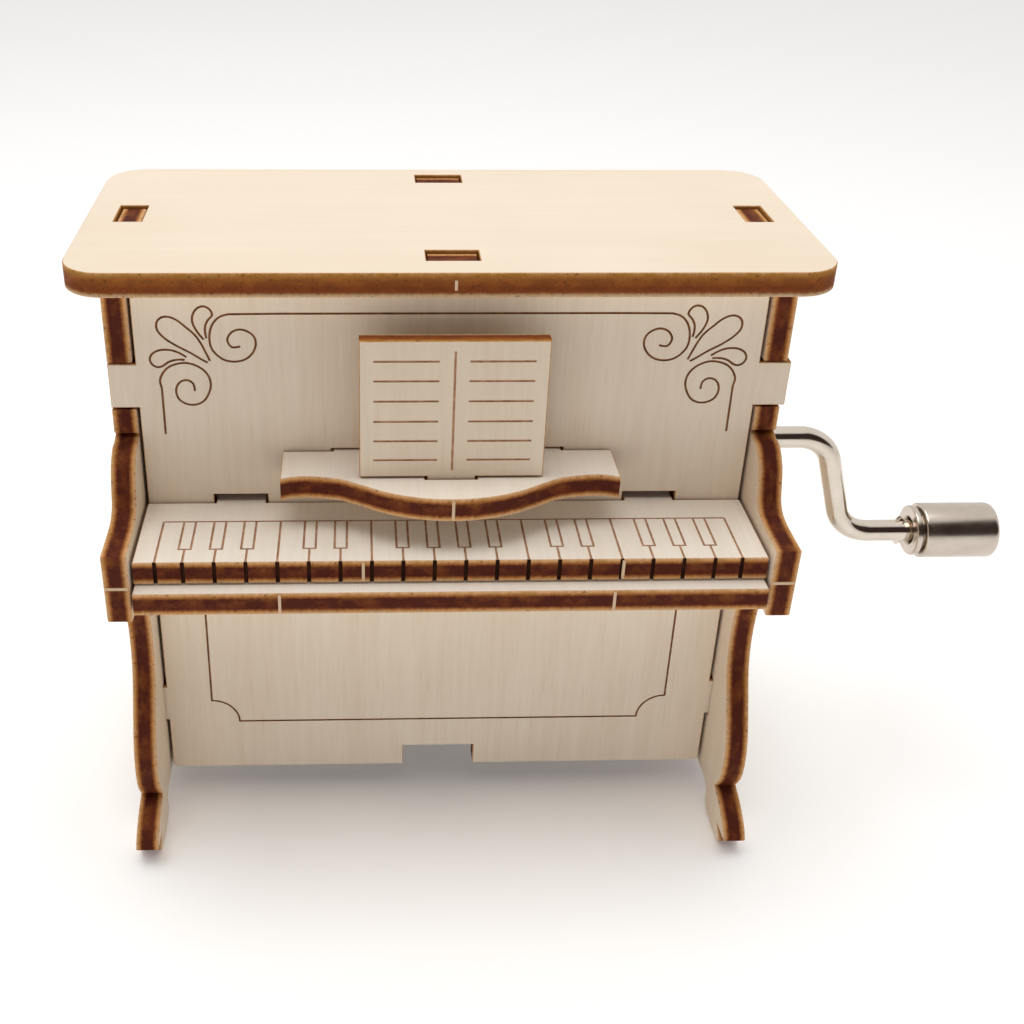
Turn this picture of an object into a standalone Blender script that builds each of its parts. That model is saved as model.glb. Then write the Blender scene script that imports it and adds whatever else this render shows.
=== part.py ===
"""Small wooden upright piano built from slotted plywood, with a hand cranked music movement inside."""

import math

import bmesh
import bpy

MM = 0.001

# Plywood and fits
PLY = 3.0 * MM
SHEET_PLY = 2.0 * MM
FIT = 0.25 * MM
TAB = 5.8 * MM
TAB_RECESS = 0.4 * MM

# Cabinet, measured from the front edge of the top board and from the floor
WIDTH = 90.0 * MM
DEPTH = 40.0 * MM
HEIGHT = 81.0 * MM
TOP_CORNER = 5.0 * MM
SIDE_OUT = 41.1 * MM
SIDE_IN = SIDE_OUT - PLY
FRONT_Y = 4.2 * MM
BACK_Y = 34.1 * MM
REAR_EDGE = BACK_Y + PLY
SIDE_TAB_Y = 20.8 * MM
UPPER_TAB_Z = 64.85 * MM
LOWER_TAB_Z = 15.85 * MM
PANEL_FOOT_Z = 4.3 * MM
PANEL_NOTCH = 10.0 * MM
PANEL_GAP = 0.4 * MM
PANEL_NOTCH_RISE = 3.4 * MM

# Keyboard, key bed, music shelf and open music book
KEYS_TOP = 48.5 * MM
KEYS_FRONT = -9.5 * MM
KEY_TAB_X = 26.0 * MM
KEY_TAB = 6.3 * MM
BED_TOP = KEYS_TOP - PLY - FIT
BED_FRONT = -11.3 * MM
BED_TAB_Y = -3.5 * MM
SHELF_TOP = 55.9 * MM
SHELF_HALF = 20.5 * MM
SHELF_TAB_HALF = 14.25 * MM
BOOK_HALF = 11.0 * MM
BOOK_FRONT = -2.9 * MM
BOOK_TOP = 73.9 * MM

# Crank and worm drive
CRANK_Y = 14.6 * MM
CRANK_Z = 51.75 * MM
CRANK_THROW = 15.0 * MM
WIRE = 1.5 * MM
SPINDLE = 1.0 * MM
BEND = 5.0 * MM
UPPER_BEND_X = 52.0 * MM
LOWER_BEND_X = 56.4 * MM
KNOB_START = 66.1 * MM
KNOB_END = 77.6 * MM
KNOB_R = 3.85 * MM
WHEEL_TEETH = 13
WHEEL_PITCH_R = 5.2 * MM
WORM_PITCH_R = 3.2 * MM
TOOTH_REACH = 0.6 * MM
TOOTH_ROOT = 0.9 * MM
WORM_LEAD = 2.0 * math.pi * WHEEL_PITCH_R / WHEEL_TEETH
WHEEL_WIDTH = 3.0 * MM

# Pinned cylinder and comb
CYLINDER_X = 6.0 * MM
CYLINDER_Y = CRANK_Y + WHEEL_PITCH_R + WORM_PITCH_R
CYLINDER_R = 6.5 * MM
CYLINDER_LOW = 20.5 * MM
CYLINDER_HIGH = 46.9 * MM
PIN_HEIGHT = 0.6 * MM
PIN_WIDTH = 0.5 * MM
NOTES = 18
STEPS_ROUND = 36
SHAFT = 1.6 * MM
PIVOT = 0.8 * MM
COMB_GAP = 0.3 * MM
COMB_THICK = 1.2 * MM
COMB_BACK_X = -22.4 * MM
COMB_ROOT_X = -16.4 * MM

# Frame of the movement
BEDPLATE_FRONT = 31.5 * MM
BEDPLATE_THICK = 2.3 * MM
METAL = 1.4 * MM
SEAT = 0.3 * MM


def clear_scene():
    for obj in list(bpy.data.objects):
        bpy.data.objects.remove(obj, do_unlink=True)


clear_scene()
parts = bpy.data.collections.new("wooden_piano_music_box")
cutters = bpy.data.collections.new("cutters")
bpy.context.scene.collection.children.link(parts)
bpy.context.scene.collection.children.link(cutters)
cutters.hide_render = True


def material(name, colour, rough, metal=0.0):
    mat = bpy.data.materials.new(name)
    mat.use_nodes = True
    shader = mat.node_tree.nodes["Principled BSDF"]
    shader.inputs["Base Color"].default_value = (*colour, 1.0)
    shader.inputs["Roughness"].default_value = rough
    shader.inputs["Metallic"].default_value = metal
    mat.diffuse_color = (*colour, 1.0)
    return mat


def empty(name, place, parent=None):
    obj = bpy.data.objects.new(name, None)
    obj.location = place
    obj.parent = parent
    parts.objects.link(obj)
    return obj


def finish(obj, place, turn, parent, mat, home=None):
    obj.location = place
    obj.rotation_euler = turn
    obj.parent = parent
    if mat is not None:
        obj.data.materials.append(mat)
    (home or parts).objects.link(obj)
    return obj


def arc(cx, cy, radius, start, end, count):
    """Points on a round stretch, angles in degrees."""
    points = []
    for i in range(count + 1):
        angle = math.radians(start + (end - start) * i / count)
        points.append((cx + radius * math.cos(angle), cy + radius * math.sin(angle)))
    return points


def rectangle(x0, x1, y0, y1):
    return [(x0, y0), (x1, y0), (x1, y1), (x0, y1)]


def disc(cx, cy, radius, count=20):
    return arc(cx, cy, radius, 0, 360, count)[:-1]


def flowing(points, count=4):
    """A smooth line through the points, as short straight pieces."""
    line = []
    last = len(points) - 1
    for i in range(last):
        p0 = points[max(i - 1, 0)]
        p1 = points[i]
        p2 = points[i + 1]
        p3 = points[min(i + 2, last)]
        for k in range(count):
            t = k / count
            line.append(tuple(
                0.5 * (2 * b + (c - a) * t + (2 * a - 5 * b + 4 * c - d) * t ** 2
                       + (3 * b - a - 3 * c + d) * t ** 3)
                for a, b, c, d in zip(p0, p1, p2, p3)
            ))
    line.append(points[-1])
    return line


def millimetres(points):
    return [(x * MM, y * MM) for x, y in points]


def flat_piece(name, loops, thick, place, turn, parent, mat):
    """A flat outline with its holes, given thickness about its own plane."""
    curve = bpy.data.curves.new(name, "CURVE")
    curve.dimensions = "2D"
    curve.fill_mode = "BOTH"
    curve.extrude = thick / 2
    for loop in loops:
        spline = curve.splines.new("POLY")
        spline.points.add(len(loop) - 1)
        for point, (x, y) in zip(spline.points, loop):
            point.co = (x, y, 0.0, 1.0)
        spline.use_cyclic_u = True
    return finish(bpy.data.objects.new(name, curve), place, turn, parent, mat)


def as_mesh(obj):
    """The same piece as a plain mesh, so that holes can be cut across its thickness."""
    bpy.context.view_layer.update()
    view = bpy.context.evaluated_depsgraph_get()
    mesh = bpy.data.meshes.new_from_object(obj.evaluated_get(view))
    bm = bmesh.new()
    bm.from_mesh(mesh)
    bmesh.ops.remove_doubles(bm, verts=bm.verts, dist=0.000001)
    bmesh.ops.recalc_face_normals(bm, faces=bm.faces)
    bm.to_mesh(mesh)
    bm.free()
    made = bpy.data.objects.new(obj.name + "_mesh", mesh)
    made.location = obj.location
    made.rotation_euler = obj.rotation_euler
    made.parent = obj.parent
    name = obj.name
    bpy.data.objects.remove(obj, do_unlink=True)
    made.name = name
    parts.objects.link(made)
    return made


def turned(name, profile, steps, place, turn, parent, mat, home=None):
    """A round piece: the profile runs from the top of the axis down its outer side."""
    mesh = bpy.data.meshes.new(name)
    edges = [(i, i + 1) for i in range(len(profile) - 1)]
    mesh.from_pydata([(r, 0.0, z) for r, z in profile], edges, [])
    obj = finish(bpy.data.objects.new(name, mesh), place, turn, parent, mat, home)
    screw = obj.modifiers.new("Turn", "SCREW")
    screw.axis = "Z"
    screw.angle = 2 * math.pi
    screw.steps = steps
    screw.render_steps = steps
    screw.use_merge_vertices = True
    screw.merge_threshold = 0.00001
    screw.use_smooth_shade = True
    return obj


def cutter(name, radius, length, place, turn, parent):
    half = length / 2
    profile = [(0.0, half), (radius, half), (radius, -half), (0.0, -half)]
    obj = turned(name, profile, 24, place, turn, parent, None, cutters)
    obj.display_type = "WIRE"
    obj.hide_render = True
    return obj


def cut(obj, tool):
    mod = obj.modifiers.new(tool.name, "BOOLEAN")
    mod.operation = "DIFFERENCE"
    mod.solver = "EXACT"
    mod.object = tool


UPRIGHT = (math.radians(90), 0.0, 0.0)
SIDEWAYS = (math.radians(90), 0.0, math.radians(90))
LEVEL = (0.0, 0.0, 0.0)
ALONG_Y = (math.radians(-90), 0.0, 0.0)
ALONG_X = (0.0, math.radians(90), 0.0)

ply = material("plywood", (0.83, 0.73, 0.60), 0.7)
ply_pale = material("plywood_pale", (0.90, 0.82, 0.70), 0.7)
ply_keys = material("plywood_keys", (0.86, 0.78, 0.68), 0.65)
zinc = material("zinc_casting", (0.62, 0.62, 0.60), 0.45, 1.0)
steel = material("comb_steel", (0.55, 0.56, 0.58), 0.3, 1.0)
brass = material("brass", (0.72, 0.55, 0.28), 0.3, 1.0)
nickel = material("bright_nickel", (0.75, 0.72, 0.68), 0.18, 1.0)
screw_steel = material("screw_steel", (0.5, 0.5, 0.5), 0.35, 1.0)
bracket_steel = material("bracket_steel", (0.66, 0.65, 0.62), 0.4, 1.0)

# The whole piece is centred on its own footprint, crank included
piano = empty("piano", ((WIDTH / 2 - KNOB_END) / 2, -(BED_FRONT + DEPTH) / 2, 0.0))
crank = empty("crank", (0.0, CRANK_Y, CRANK_Z), piano)
knob = empty("knob", (0.0, 0.0, -CRANK_THROW), crank)
cylinder = empty("cylinder", (CYLINDER_X, CYLINDER_Y, 0.0), piano)

# Top board with four slots
half_slot = TAB / 2 + FIT
half_wall = PLY / 2 + FIT
corner = TOP_CORNER
right = WIDTH / 2
board = arc(right - corner, corner, corner, -90, 0, 6)
board += arc(right - corner, DEPTH - corner, corner, 0, 90, 6)
board += arc(corner - right, DEPTH - corner, corner, 90, 180, 6)
board += arc(corner - right, corner, corner, 180, 270, 6)
wall_x = SIDE_OUT - PLY / 2
front_mid = FRONT_Y + PLY / 2
back_mid = BACK_Y + PLY / 2
side_slot_low = SIDE_TAB_Y - half_slot
side_slot_high = SIDE_TAB_Y + half_slot
board_slots = [
    rectangle(-wall_x - half_wall, -wall_x + half_wall, side_slot_low, side_slot_high),
    rectangle(wall_x - half_wall, wall_x + half_wall, side_slot_low, side_slot_high),
    rectangle(-half_slot, half_slot, front_mid - half_wall, front_mid + half_wall),
    rectangle(-half_slot, half_slot, back_mid - half_wall, back_mid + half_wall),
]
flat_piece("top_board", [board] + board_slots, PLY, (0.0, 0.0, HEIGHT - PLY / 2), LEVEL,
           piano, ply_pale)

# Side panels: straight above, a rolled cheek and arm beside the keys, a shaped leg below
WALL_TOP = HEIGHT - PLY - FIT
TAB_TOP = HEIGHT - TAB_RECESS
cheek = millimetres(flowing([(3.4, 57.6), (2.3, 57.55), (1.1, 56.9), (-0.2, 55.5), (-1.0, 53.5),
                             (-1.6, 51.7), (-2.9, 50.6), (-4.9, 50.25), (-7.0, 50.2)], 3))
arm = millimetres([(-10.7, 50.2), (-10.5, 40.8), (-8.2, 40.8)])
leg = millimetres(flowing([(-8.2, 40.8), (-4.2, 39.9), (-1.2, 37.2), (-0.1, 33.1), (0.1, 28.5),
                           (-0.7, 24.4), (-2.6, 20.4), (-4.4, 16.4), (-5.2, 12.8), (-4.8, 9.2),
                           (-3.2, 6.4)], 3))
toe = millimetres(flowing([(-3.2, 6.4), (-4.8, 6.0), (-6.4, 5.5), (-8.0, 4.7), (-9.2, 3.8),
                           (-9.9, 2.7)], 3))
paw = millimetres([(-6.4, 2.6), (-8.2, 1.0), (-7.4, 0.2), (-5.6, 0.0)])
heel = millimetres(flowing([(-3.0, 0.0), (-0.9, 0.3), (-0.1, 1.3), (-0.1, 2.6), (1.2, 3.4)], 3))
rear_foot = millimetres(flowing([(27.4, 3.4), (28.9, 2.8), (29.9, 1.0), (31.2, 0.0)], 3))


def front_notch(z):
    deep = FRONT_Y + PLY + FIT
    return [(FRONT_Y, z + half_slot), (deep, z + half_slot), (deep, z - half_slot),
            (FRONT_Y, z - half_slot)]


def rear_notch(z):
    deep = BACK_Y - FIT
    return [(REAR_EDGE, z - half_slot), (deep, z - half_slot), (deep, z + half_slot),
            (REAR_EDGE, z + half_slot)]


side = [(SIDE_TAB_Y + TAB / 2, WALL_TOP), (SIDE_TAB_Y + TAB / 2, TAB_TOP)]
side += [(SIDE_TAB_Y - TAB / 2, TAB_TOP), (SIDE_TAB_Y - TAB / 2, WALL_TOP)]
side += [(FRONT_Y, WALL_TOP)]
side += front_notch(UPPER_TAB_Z)
side += millimetres([(4.2, 58.5), (5.0, 58.0)])
side += cheek
side += arm[:2]
side += leg
side += toe[1:]
side += paw
side += heel
side += rear_foot
side += [(REAR_EDGE, 0.0)]
side += rear_notch(LOWER_TAB_Z)
side += rear_notch(UPPER_TAB_Z)
side += [(REAR_EDGE, WALL_TOP)]
side_slots = [
    rectangle(FRONT_Y - FIT, FRONT_Y + PLY + FIT, LOWER_TAB_Z - half_slot,
              LOWER_TAB_Z + half_slot),
    rectangle(BED_TAB_Y - half_slot, BED_TAB_Y + half_slot, BED_TOP - PLY - FIT,
              BED_TOP + FIT),
]
crank_hole = disc(CRANK_Y, CRANK_Z, WIRE + 0.5 * MM, 24)
flat_piece("left_side", [side] + side_slots, PLY, (-wall_x, 0.0, 0.0), SIDEWAYS, piano, ply)
flat_piece("right_side", [side] + side_slots + [crank_hole], PLY, (wall_x, 0.0, 0.0), SIDEWAYS,
           piano, ply)


def wall_outline(left_reach, right_reach, low_corners):
    """Outline of the front or back panel with a tab on top and two tabs on each side."""
    edge = SIDE_IN - PANEL_GAP
    line = list(low_corners)
    for z in (LOWER_TAB_Z, UPPER_TAB_Z):
        line += [(edge, z - TAB / 2), (right_reach, z - TAB / 2)]
        line += [(right_reach, z + TAB / 2), (edge, z + TAB / 2)]
    line += [(edge, WALL_TOP), (TAB / 2, WALL_TOP), (TAB / 2, TAB_TOP)]
    line += [(-TAB / 2, TAB_TOP), (-TAB / 2, WALL_TOP), (-edge, WALL_TOP)]
    for z in (UPPER_TAB_Z, LOWER_TAB_Z):
        line += [(-edge, z + TAB / 2), (-left_reach, z + TAB / 2)]
        line += [(-left_reach, z - TAB / 2), (-edge, z - TAB / 2)]
    return line


edge = SIDE_IN - PANEL_GAP
notch = PANEL_NOTCH / 2
notch_top = PANEL_FOOT_Z + PANEL_NOTCH_RISE
low_round = 0.5 * MM
low_z = PANEL_FOOT_Z + low_round
low_left = arc(low_round - edge, low_z, low_round, 180, 270, 3)
low_right = arc(edge - low_round, low_z, low_round, 270, 360, 3)
front_low = low_left + [(-notch, PANEL_FOOT_Z), (-notch, notch_top), (notch, notch_top),
                        (notch, PANEL_FOOT_Z)] + low_right
key_half = KEY_TAB / 2 + FIT
key_slot_low = KEYS_TOP - PLY - FIT
key_slot_high = KEYS_TOP + 1.1 * MM
front_slots = [
    rectangle(-SHELF_TAB_HALF - FIT, SHELF_TAB_HALF + FIT, SHELF_TOP - PLY - FIT,
              SHELF_TOP + FIT),
    rectangle(-KEY_TAB_X - key_half, -KEY_TAB_X + key_half, key_slot_low, key_slot_high),
    rectangle(KEY_TAB_X - key_half, KEY_TAB_X + key_half, key_slot_low, key_slot_high),
]
flat_piece("front_panel", [wall_outline(SIDE_OUT, SIDE_OUT + 0.5 * MM, front_low)] + front_slots,
           PLY, (0.0, front_mid, 0.0), UPRIGHT, piano, ply)

# Back panel, drilled for the four screws that hold the movement
MOUNT_X = (-22.0 * MM, 17.0 * MM)
MOUNT_Z = (14.0 * MM, 62.5 * MM)
SCREW_R = 0.9 * MM
HOLE_R = 1.2 * MM
mounts = [(x, z) for x in MOUNT_X for z in MOUNT_Z]
back_low = [(-edge, PANEL_FOOT_Z), (edge, PANEL_FOOT_Z)]
flat_piece("back_panel",
           [wall_outline(SIDE_OUT, SIDE_OUT, back_low)] + [disc(x, z, HOLE_R) for x, z in mounts],
           PLY, (0.0, back_mid, 0.0), UPRIGHT, piano, ply)

# Keyboard board with two tabs through the front panel, and the bed it lies on
keys_back = FRONT_Y - FIT
keys_edge = SIDE_IN - 0.35 * MM
through = FRONT_Y + PLY
keys = [(-keys_edge, KEYS_FRONT), (keys_edge, KEYS_FRONT), (keys_edge, keys_back)]
for x in (KEY_TAB_X, -KEY_TAB_X):
    keys += [(x + KEY_TAB / 2, keys_back), (x + KEY_TAB / 2, through)]
    keys += [(x - KEY_TAB / 2, through), (x - KEY_TAB / 2, keys_back)]
keys += [(-keys_edge, keys_back)]
flat_piece("keyboard", [keys], PLY, (0.0, 0.0, KEYS_TOP - PLY / 2), LEVEL, piano, ply_keys)

bed = [(-keys_edge, BED_FRONT), (keys_edge, BED_FRONT)]
bed += [(keys_edge, BED_TAB_Y - TAB / 2), (SIDE_OUT, BED_TAB_Y - TAB / 2)]
bed += [(SIDE_OUT, BED_TAB_Y + TAB / 2), (keys_edge, BED_TAB_Y + TAB / 2)]
bed += [(keys_edge, keys_back), (-keys_edge, keys_back)]
bed += [(-keys_edge, BED_TAB_Y + TAB / 2), (-SIDE_OUT, BED_TAB_Y + TAB / 2)]
bed += [(-SIDE_OUT, BED_TAB_Y - TAB / 2), (-keys_edge, BED_TAB_Y - TAB / 2)]
flat_piece("key_bed", [bed], PLY, (0.0, 0.0, BED_TOP - PLY / 2), LEVEL, piano, ply)

# Music shelf with a flowing front edge, and the open music book standing in it
shelf_front = millimetres(flowing([(-20.5, -2.9), (-18.6, -2.35), (-16.6, -2.35), (-13.4, -3.0),
                                   (-10.9, -4.35), (-8.3, -5.9), (-5.6, -7.0), (-2.8, -7.65),
                                   (0.0, -7.85), (2.8, -7.65), (5.6, -7.0), (8.3, -5.9),
                                   (10.9, -4.35), (13.4, -3.0), (16.6, -2.35), (18.6, -2.35),
                                   (20.5, -2.9)], 3))
shelf = shelf_front + [(SHELF_HALF, keys_back), (SHELF_TAB_HALF, keys_back)]
shelf += [(SHELF_TAB_HALF, through), (-SHELF_TAB_HALF, through)]
shelf += [(-SHELF_TAB_HALF, keys_back), (-SHELF_HALF, keys_back)]
book_slot = rectangle(-half_slot, half_slot, BOOK_FRONT - FIT, BOOK_FRONT + SHEET_PLY + FIT)
flat_piece("music_shelf", [shelf, book_slot], PLY, (0.0, 0.0, SHELF_TOP - PLY / 2), LEVEL, piano,
           ply_keys)
book_low = SHELF_TOP + FIT
book_tab = SHELF_TOP - PLY
book = [(-BOOK_HALF, book_low), (-TAB / 2, book_low), (-TAB / 2, book_tab), (TAB / 2, book_tab),
        (TAB / 2, book_low), (BOOK_HALF, book_low), (BOOK_HALF, BOOK_TOP), (-BOOK_HALF, BOOK_TOP)]
flat_piece("music_book", [book], SHEET_PLY, (0.0, BOOK_FRONT + SHEET_PLY / 2, 0.0), UPRIGHT,
           piano, ply)

# Movement bedplate behind the cylinder and comb
CAGE_HALF = 6.15 * MM
CAGE_OUT = CAGE_HALF + METAL
CAGE_FOOT = 4.7 * MM
CAGE_TALL = 8.0 * MM
cage_screw_x = CAGE_OUT + CAGE_FOOT / 2
BEARING_WIDE = 8.0 * MM
TOP_BEARING_Z = 58.0 * MM
LOW_BEARING_Z = 18.0 * MM
BEARING_SCREW = 4.2 * MM
comb_screw_z = (23.5 * MM, 33.7 * MM, 43.9 * MM)
comb_screw_x = (COMB_BACK_X + COMB_ROOT_X) / 2
frame_holes = [(comb_screw_x, z) for z in comb_screw_z]
frame_holes += [(CYLINDER_X - cage_screw_x, CRANK_Z), (CYLINDER_X + cage_screw_x, CRANK_Z)]
frame_holes += [(CYLINDER_X, TOP_BEARING_Z + BEARING_SCREW)]
frame_holes += [(CYLINDER_X, LOW_BEARING_Z - BEARING_SCREW)]
plate = arc(18.0 * MM, 12.0 * MM, 2.0 * MM, -90, 0, 4)
plate += arc(18.0 * MM, 64.5 * MM, 2.0 * MM, 0, 90, 4)
plate += arc(-23.0 * MM, 64.5 * MM, 2.0 * MM, 90, 180, 4)
plate += arc(-23.0 * MM, 12.0 * MM, 2.0 * MM, 180, 270, 4)
plate_holes = [disc(x, z, HOLE_R) for x, z in mounts + frame_holes]
flat_piece("bedplate", [plate] + plate_holes, BEDPLATE_THICK,
           (0.0, BEDPLATE_FRONT + BEDPLATE_THICK / 2, 0.0), UPRIGHT, piano, zinc)


def pan_screw(name, head_r, head_tall, length, place, turn, parent):
    profile = [(0.0, head_tall), (0.7 * head_r, 0.9 * head_tall), (head_r, 0.4 * head_tall),
               (head_r, 0.0), (SCREW_R, 0.0), (SCREW_R, -length), (0.0, -length - 0.4 * MM)]
    return turned(name, profile, 16, place, turn, parent, screw_steel)


FROM_BEHIND = (math.radians(-90), 0.0, 0.0)
FROM_FRONT = (math.radians(90), 0.0, 0.0)
for number, (x, z) in enumerate(mounts, 1):
    pan_screw(f"mount_screw_{number}", 2.2 * MM, 1.2 * MM, 5.2 * MM,
              (x, REAR_EDGE + SEAT, z), FROM_BEHIND, piano)

# Comb on its rest, teeth reaching toward the cylinder
comb_mid = CYLINDER_Y
comb_tip = CYLINDER_X - CYLINDER_R - PIN_HEIGHT - COMB_GAP
track = (CYLINDER_HIGH - CYLINDER_LOW) / NOTES
tooth_half = 0.5 * MM
comb_low = CYLINDER_LOW - 0.3 * MM
comb_high = CYLINDER_HIGH + 0.3 * MM
comb = [(COMB_BACK_X, comb_high), (COMB_BACK_X, comb_low)]
for note in range(NOTES):
    middle = CYLINDER_LOW + (note + 0.5) * track
    slit = COMB_ROOT_X + 0.28 * note * MM
    low = middle - tooth_half
    high = middle + tooth_half
    if note == 0:
        comb += [(slit, comb_low), (slit, low)]
    comb += [(comb_tip, low), (comb_tip, high)]
    if note < NOTES - 1:
        comb += [(slit, high), (slit + 0.28 * MM, low + track)]
    else:
        comb += [(slit, high), (slit, comb_high)]
comb_holes = [disc(comb_screw_x, z, HOLE_R) for z in comb_screw_z]
flat_piece("comb", [comb] + comb_holes, COMB_THICK, (0.0, comb_mid, 0.0), UPRIGHT, piano, steel)

rest_front = comb_mid + COMB_THICK / 2 + SEAT
rest_back = BEDPLATE_FRONT - SEAT
rest = rectangle(COMB_BACK_X, COMB_ROOT_X - 0.4 * MM, comb_low, comb_high)
flat_piece("comb_rest", [rest] + comb_holes, rest_back - rest_front,
           (0.0, (rest_front + rest_back) / 2, 0.0), UPRIGHT, piano, zinc)
comb_face = comb_mid - COMB_THICK / 2 - SEAT
for number, z in enumerate(comb_screw_z, 1):
    pan_screw(f"comb_screw_{number}", 1.9 * MM, 1.3 * MM, 9.6 * MM,
              (comb_screw_x, comb_face, z), FROM_FRONT, piano)

# Cage that carries the worm spindle in front of the wheel
cage_back = BEDPLATE_FRONT - SEAT
cage_foot = cage_back - METAL
cage_front = CRANK_Y - 5.6 * MM
foot_out = CAGE_OUT + CAGE_FOOT
cage = [(-foot_out, cage_back), (-foot_out, cage_foot), (-CAGE_OUT, cage_foot),
        (-CAGE_OUT, cage_front), (CAGE_OUT, cage_front), (CAGE_OUT, cage_foot),
        (foot_out, cage_foot), (foot_out, cage_back), (CAGE_HALF, cage_back),
        (CAGE_HALF, cage_front + METAL), (-CAGE_HALF, cage_front + METAL),
        (-CAGE_HALF, cage_back)]
worm_cage = as_mesh(flat_piece("worm_cage", [cage], CAGE_TALL, (CYLINDER_X, 0.0, CRANK_Z), LEVEL,
                               piano, bracket_steel))
cut(worm_cage, cutter("spindle_bore", SPINDLE + 0.3 * MM, 24.0 * MM,
                      (CYLINDER_X, CRANK_Y, CRANK_Z), ALONG_X, piano))
for number, sign in enumerate((-1, 1), 1):
    place = (CYLINDER_X + sign * cage_screw_x, cage_back, CRANK_Z)
    cut(worm_cage, cutter(f"cage_hole_{number}", HOLE_R, 8.0 * MM, place, ALONG_Y, piano))
    place = (CYLINDER_X + sign * cage_screw_x, cage_foot - SEAT, CRANK_Z)
    pan_screw(f"cage_screw_{number}", 1.8 * MM, 1.1 * MM, 3.2 * MM, place, FROM_FRONT, piano)

# Bearing brackets at both ends of the cylinder
bearing_front = CYLINDER_Y - 3.8 * MM
flange = 7.2 * MM


def bearing(name, z, away):
    """An angle bracket: arm level with z, flange running away from the cylinder."""
    near = z - away * METAL / 2
    far = z + away * METAL / 2
    end = near + away * flange
    outline = [(bearing_front, near), (cage_back, near), (cage_back, end), (cage_foot, end),
               (cage_foot, far), (bearing_front, far)]
    obj = as_mesh(flat_piece(name, [outline], BEARING_WIDE, (CYLINDER_X, 0.0, 0.0), SIDEWAYS,
                             piano, bracket_steel))
    cut(obj, cutter(name + "_pivot_bore", PIVOT + 0.3 * MM, 8.0 * MM,
                    (CYLINDER_X, CYLINDER_Y, z), LEVEL, piano))
    hole_z = z + away * BEARING_SCREW
    cut(obj, cutter(name + "_screw_bore", HOLE_R, 8.0 * MM, (CYLINDER_X, cage_back, hole_z),
                    ALONG_Y, piano))
    pan_screw(name + "_screw", 1.8 * MM, 1.1 * MM, 3.2 * MM,
              (CYLINDER_X, cage_foot - SEAT, hole_z), FROM_FRONT, piano)


bearing("top_bearing", TOP_BEARING_Z, 1)
bearing("low_bearing", LOW_BEARING_Z, -1)

# Shaft with its two pivots, carrying the cylinder and the worm wheel
shoulder_low = LOW_BEARING_Z + METAL / 2 + SEAT
shoulder_high = TOP_BEARING_Z - METAL / 2 - SEAT
shaft = [(0.0, shoulder_high + 2.1 * MM), (PIVOT, shoulder_high + 2.1 * MM),
         (PIVOT, shoulder_high), (SHAFT, shoulder_high), (SHAFT, shoulder_low),
         (PIVOT, shoulder_low), (PIVOT, shoulder_low - 2.1 * MM), (0.0, shoulder_low - 2.1 * MM)]
turned("cylinder_shaft", shaft, 24, (0.0, 0.0, 0.0), LEVEL, cylinder, steel)


def lofted(name, rings, bores, place, turn, parent, mat, raised=()):
    """A bored solid from matching rings of points; raised faces stand out as pins."""
    bm = bmesh.new()
    outer = [[bm.verts.new(p) for p in ring] for ring in rings]
    inner = [[bm.verts.new(p) for p in ring] for ring in bores]
    count = len(rings[0])
    faces = {}
    for k in range(len(rings) - 1):
        for i in range(count):
            j = (i + 1) % count
            faces[k, i] = bm.faces.new((outer[k][i], outer[k][j], outer[k + 1][j],
                                        outer[k + 1][i]))
    for i in range(count):
        j = (i + 1) % count
        bm.faces.new((inner[1][i], inner[1][j], inner[0][j], inner[0][i]))
        bm.faces.new((inner[0][i], inner[0][j], outer[0][j], outer[0][i]))
        bm.faces.new((outer[-1][i], outer[-1][j], inner[1][j], inner[1][i]))
    chosen = [faces[key] for key in raised]
    made = bmesh.ops.extrude_discrete_faces(bm, faces=chosen)["faces"] if chosen else []
    for face in made:
        middle = face.calc_center_median()
        away = middle.copy()
        away.z = 0.0
        away.normalize()
        across = away.orthogonal()
        for vert in face.verts:
            side_step = vert.co - middle
            side_step.z = 0.0
            side_step -= away * side_step.dot(away)
            vert.co -= side_step * 0.35
            vert.co += away * PIN_HEIGHT
    bmesh.ops.recalc_face_normals(bm, faces=bm.faces)
    mesh = bpy.data.meshes.new(name)
    bm.to_mesh(mesh)
    bm.free()
    for polygon in mesh.polygons:
        polygon.use_smooth = False
    return finish(bpy.data.objects.new(name, mesh), place, turn, parent, mat)


def ring(radius, z, count, shift=0.0):
    return [(radius * math.cos(2 * math.pi * i / count + shift),
             radius * math.sin(2 * math.pi * i / count + shift), z) for i in range(count)]


# Cylinder: one narrow band of faces per note, some of them raised into pins
levels = [CYLINDER_LOW]
for note in range(NOTES):
    middle = CYLINDER_LOW + (note + 0.5) * track
    levels += [middle - PIN_WIDTH / 2, middle + PIN_WIDTH / 2]
levels += [CYLINDER_HIGH]
pins = []
for note in range(NOTES):
    for beat in range(4):
        pins.append((2 * note + 1, (7 * note + 9 * beat + (note * beat) % 5) % STEPS_ROUND))
drum_rings = [ring(CYLINDER_R, z, STEPS_ROUND) for z in levels]
drum_bores = [ring(SHAFT + 0.3 * MM, z, STEPS_ROUND) for z in (CYLINDER_LOW, CYLINDER_HIGH)]
lofted("music_cylinder", drum_rings, drum_bores, (0.0, 0.0, 0.0), LEVEL, cylinder, brass,
       sorted(set(pins)))

# Worm wheel, its teeth leaning with the thread
lean = math.atan(WORM_LEAD / (2 * math.pi * WORM_PITCH_R))
tooth_turn = 2 * math.pi / WHEEL_TEETH
root_r = WHEEL_PITCH_R - TOOTH_ROOT
tip_r = WHEEL_PITCH_R + TOOTH_REACH
half_root = 0.68 * MM / root_r
half_tip = 0.32 * MM / tip_r


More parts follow.
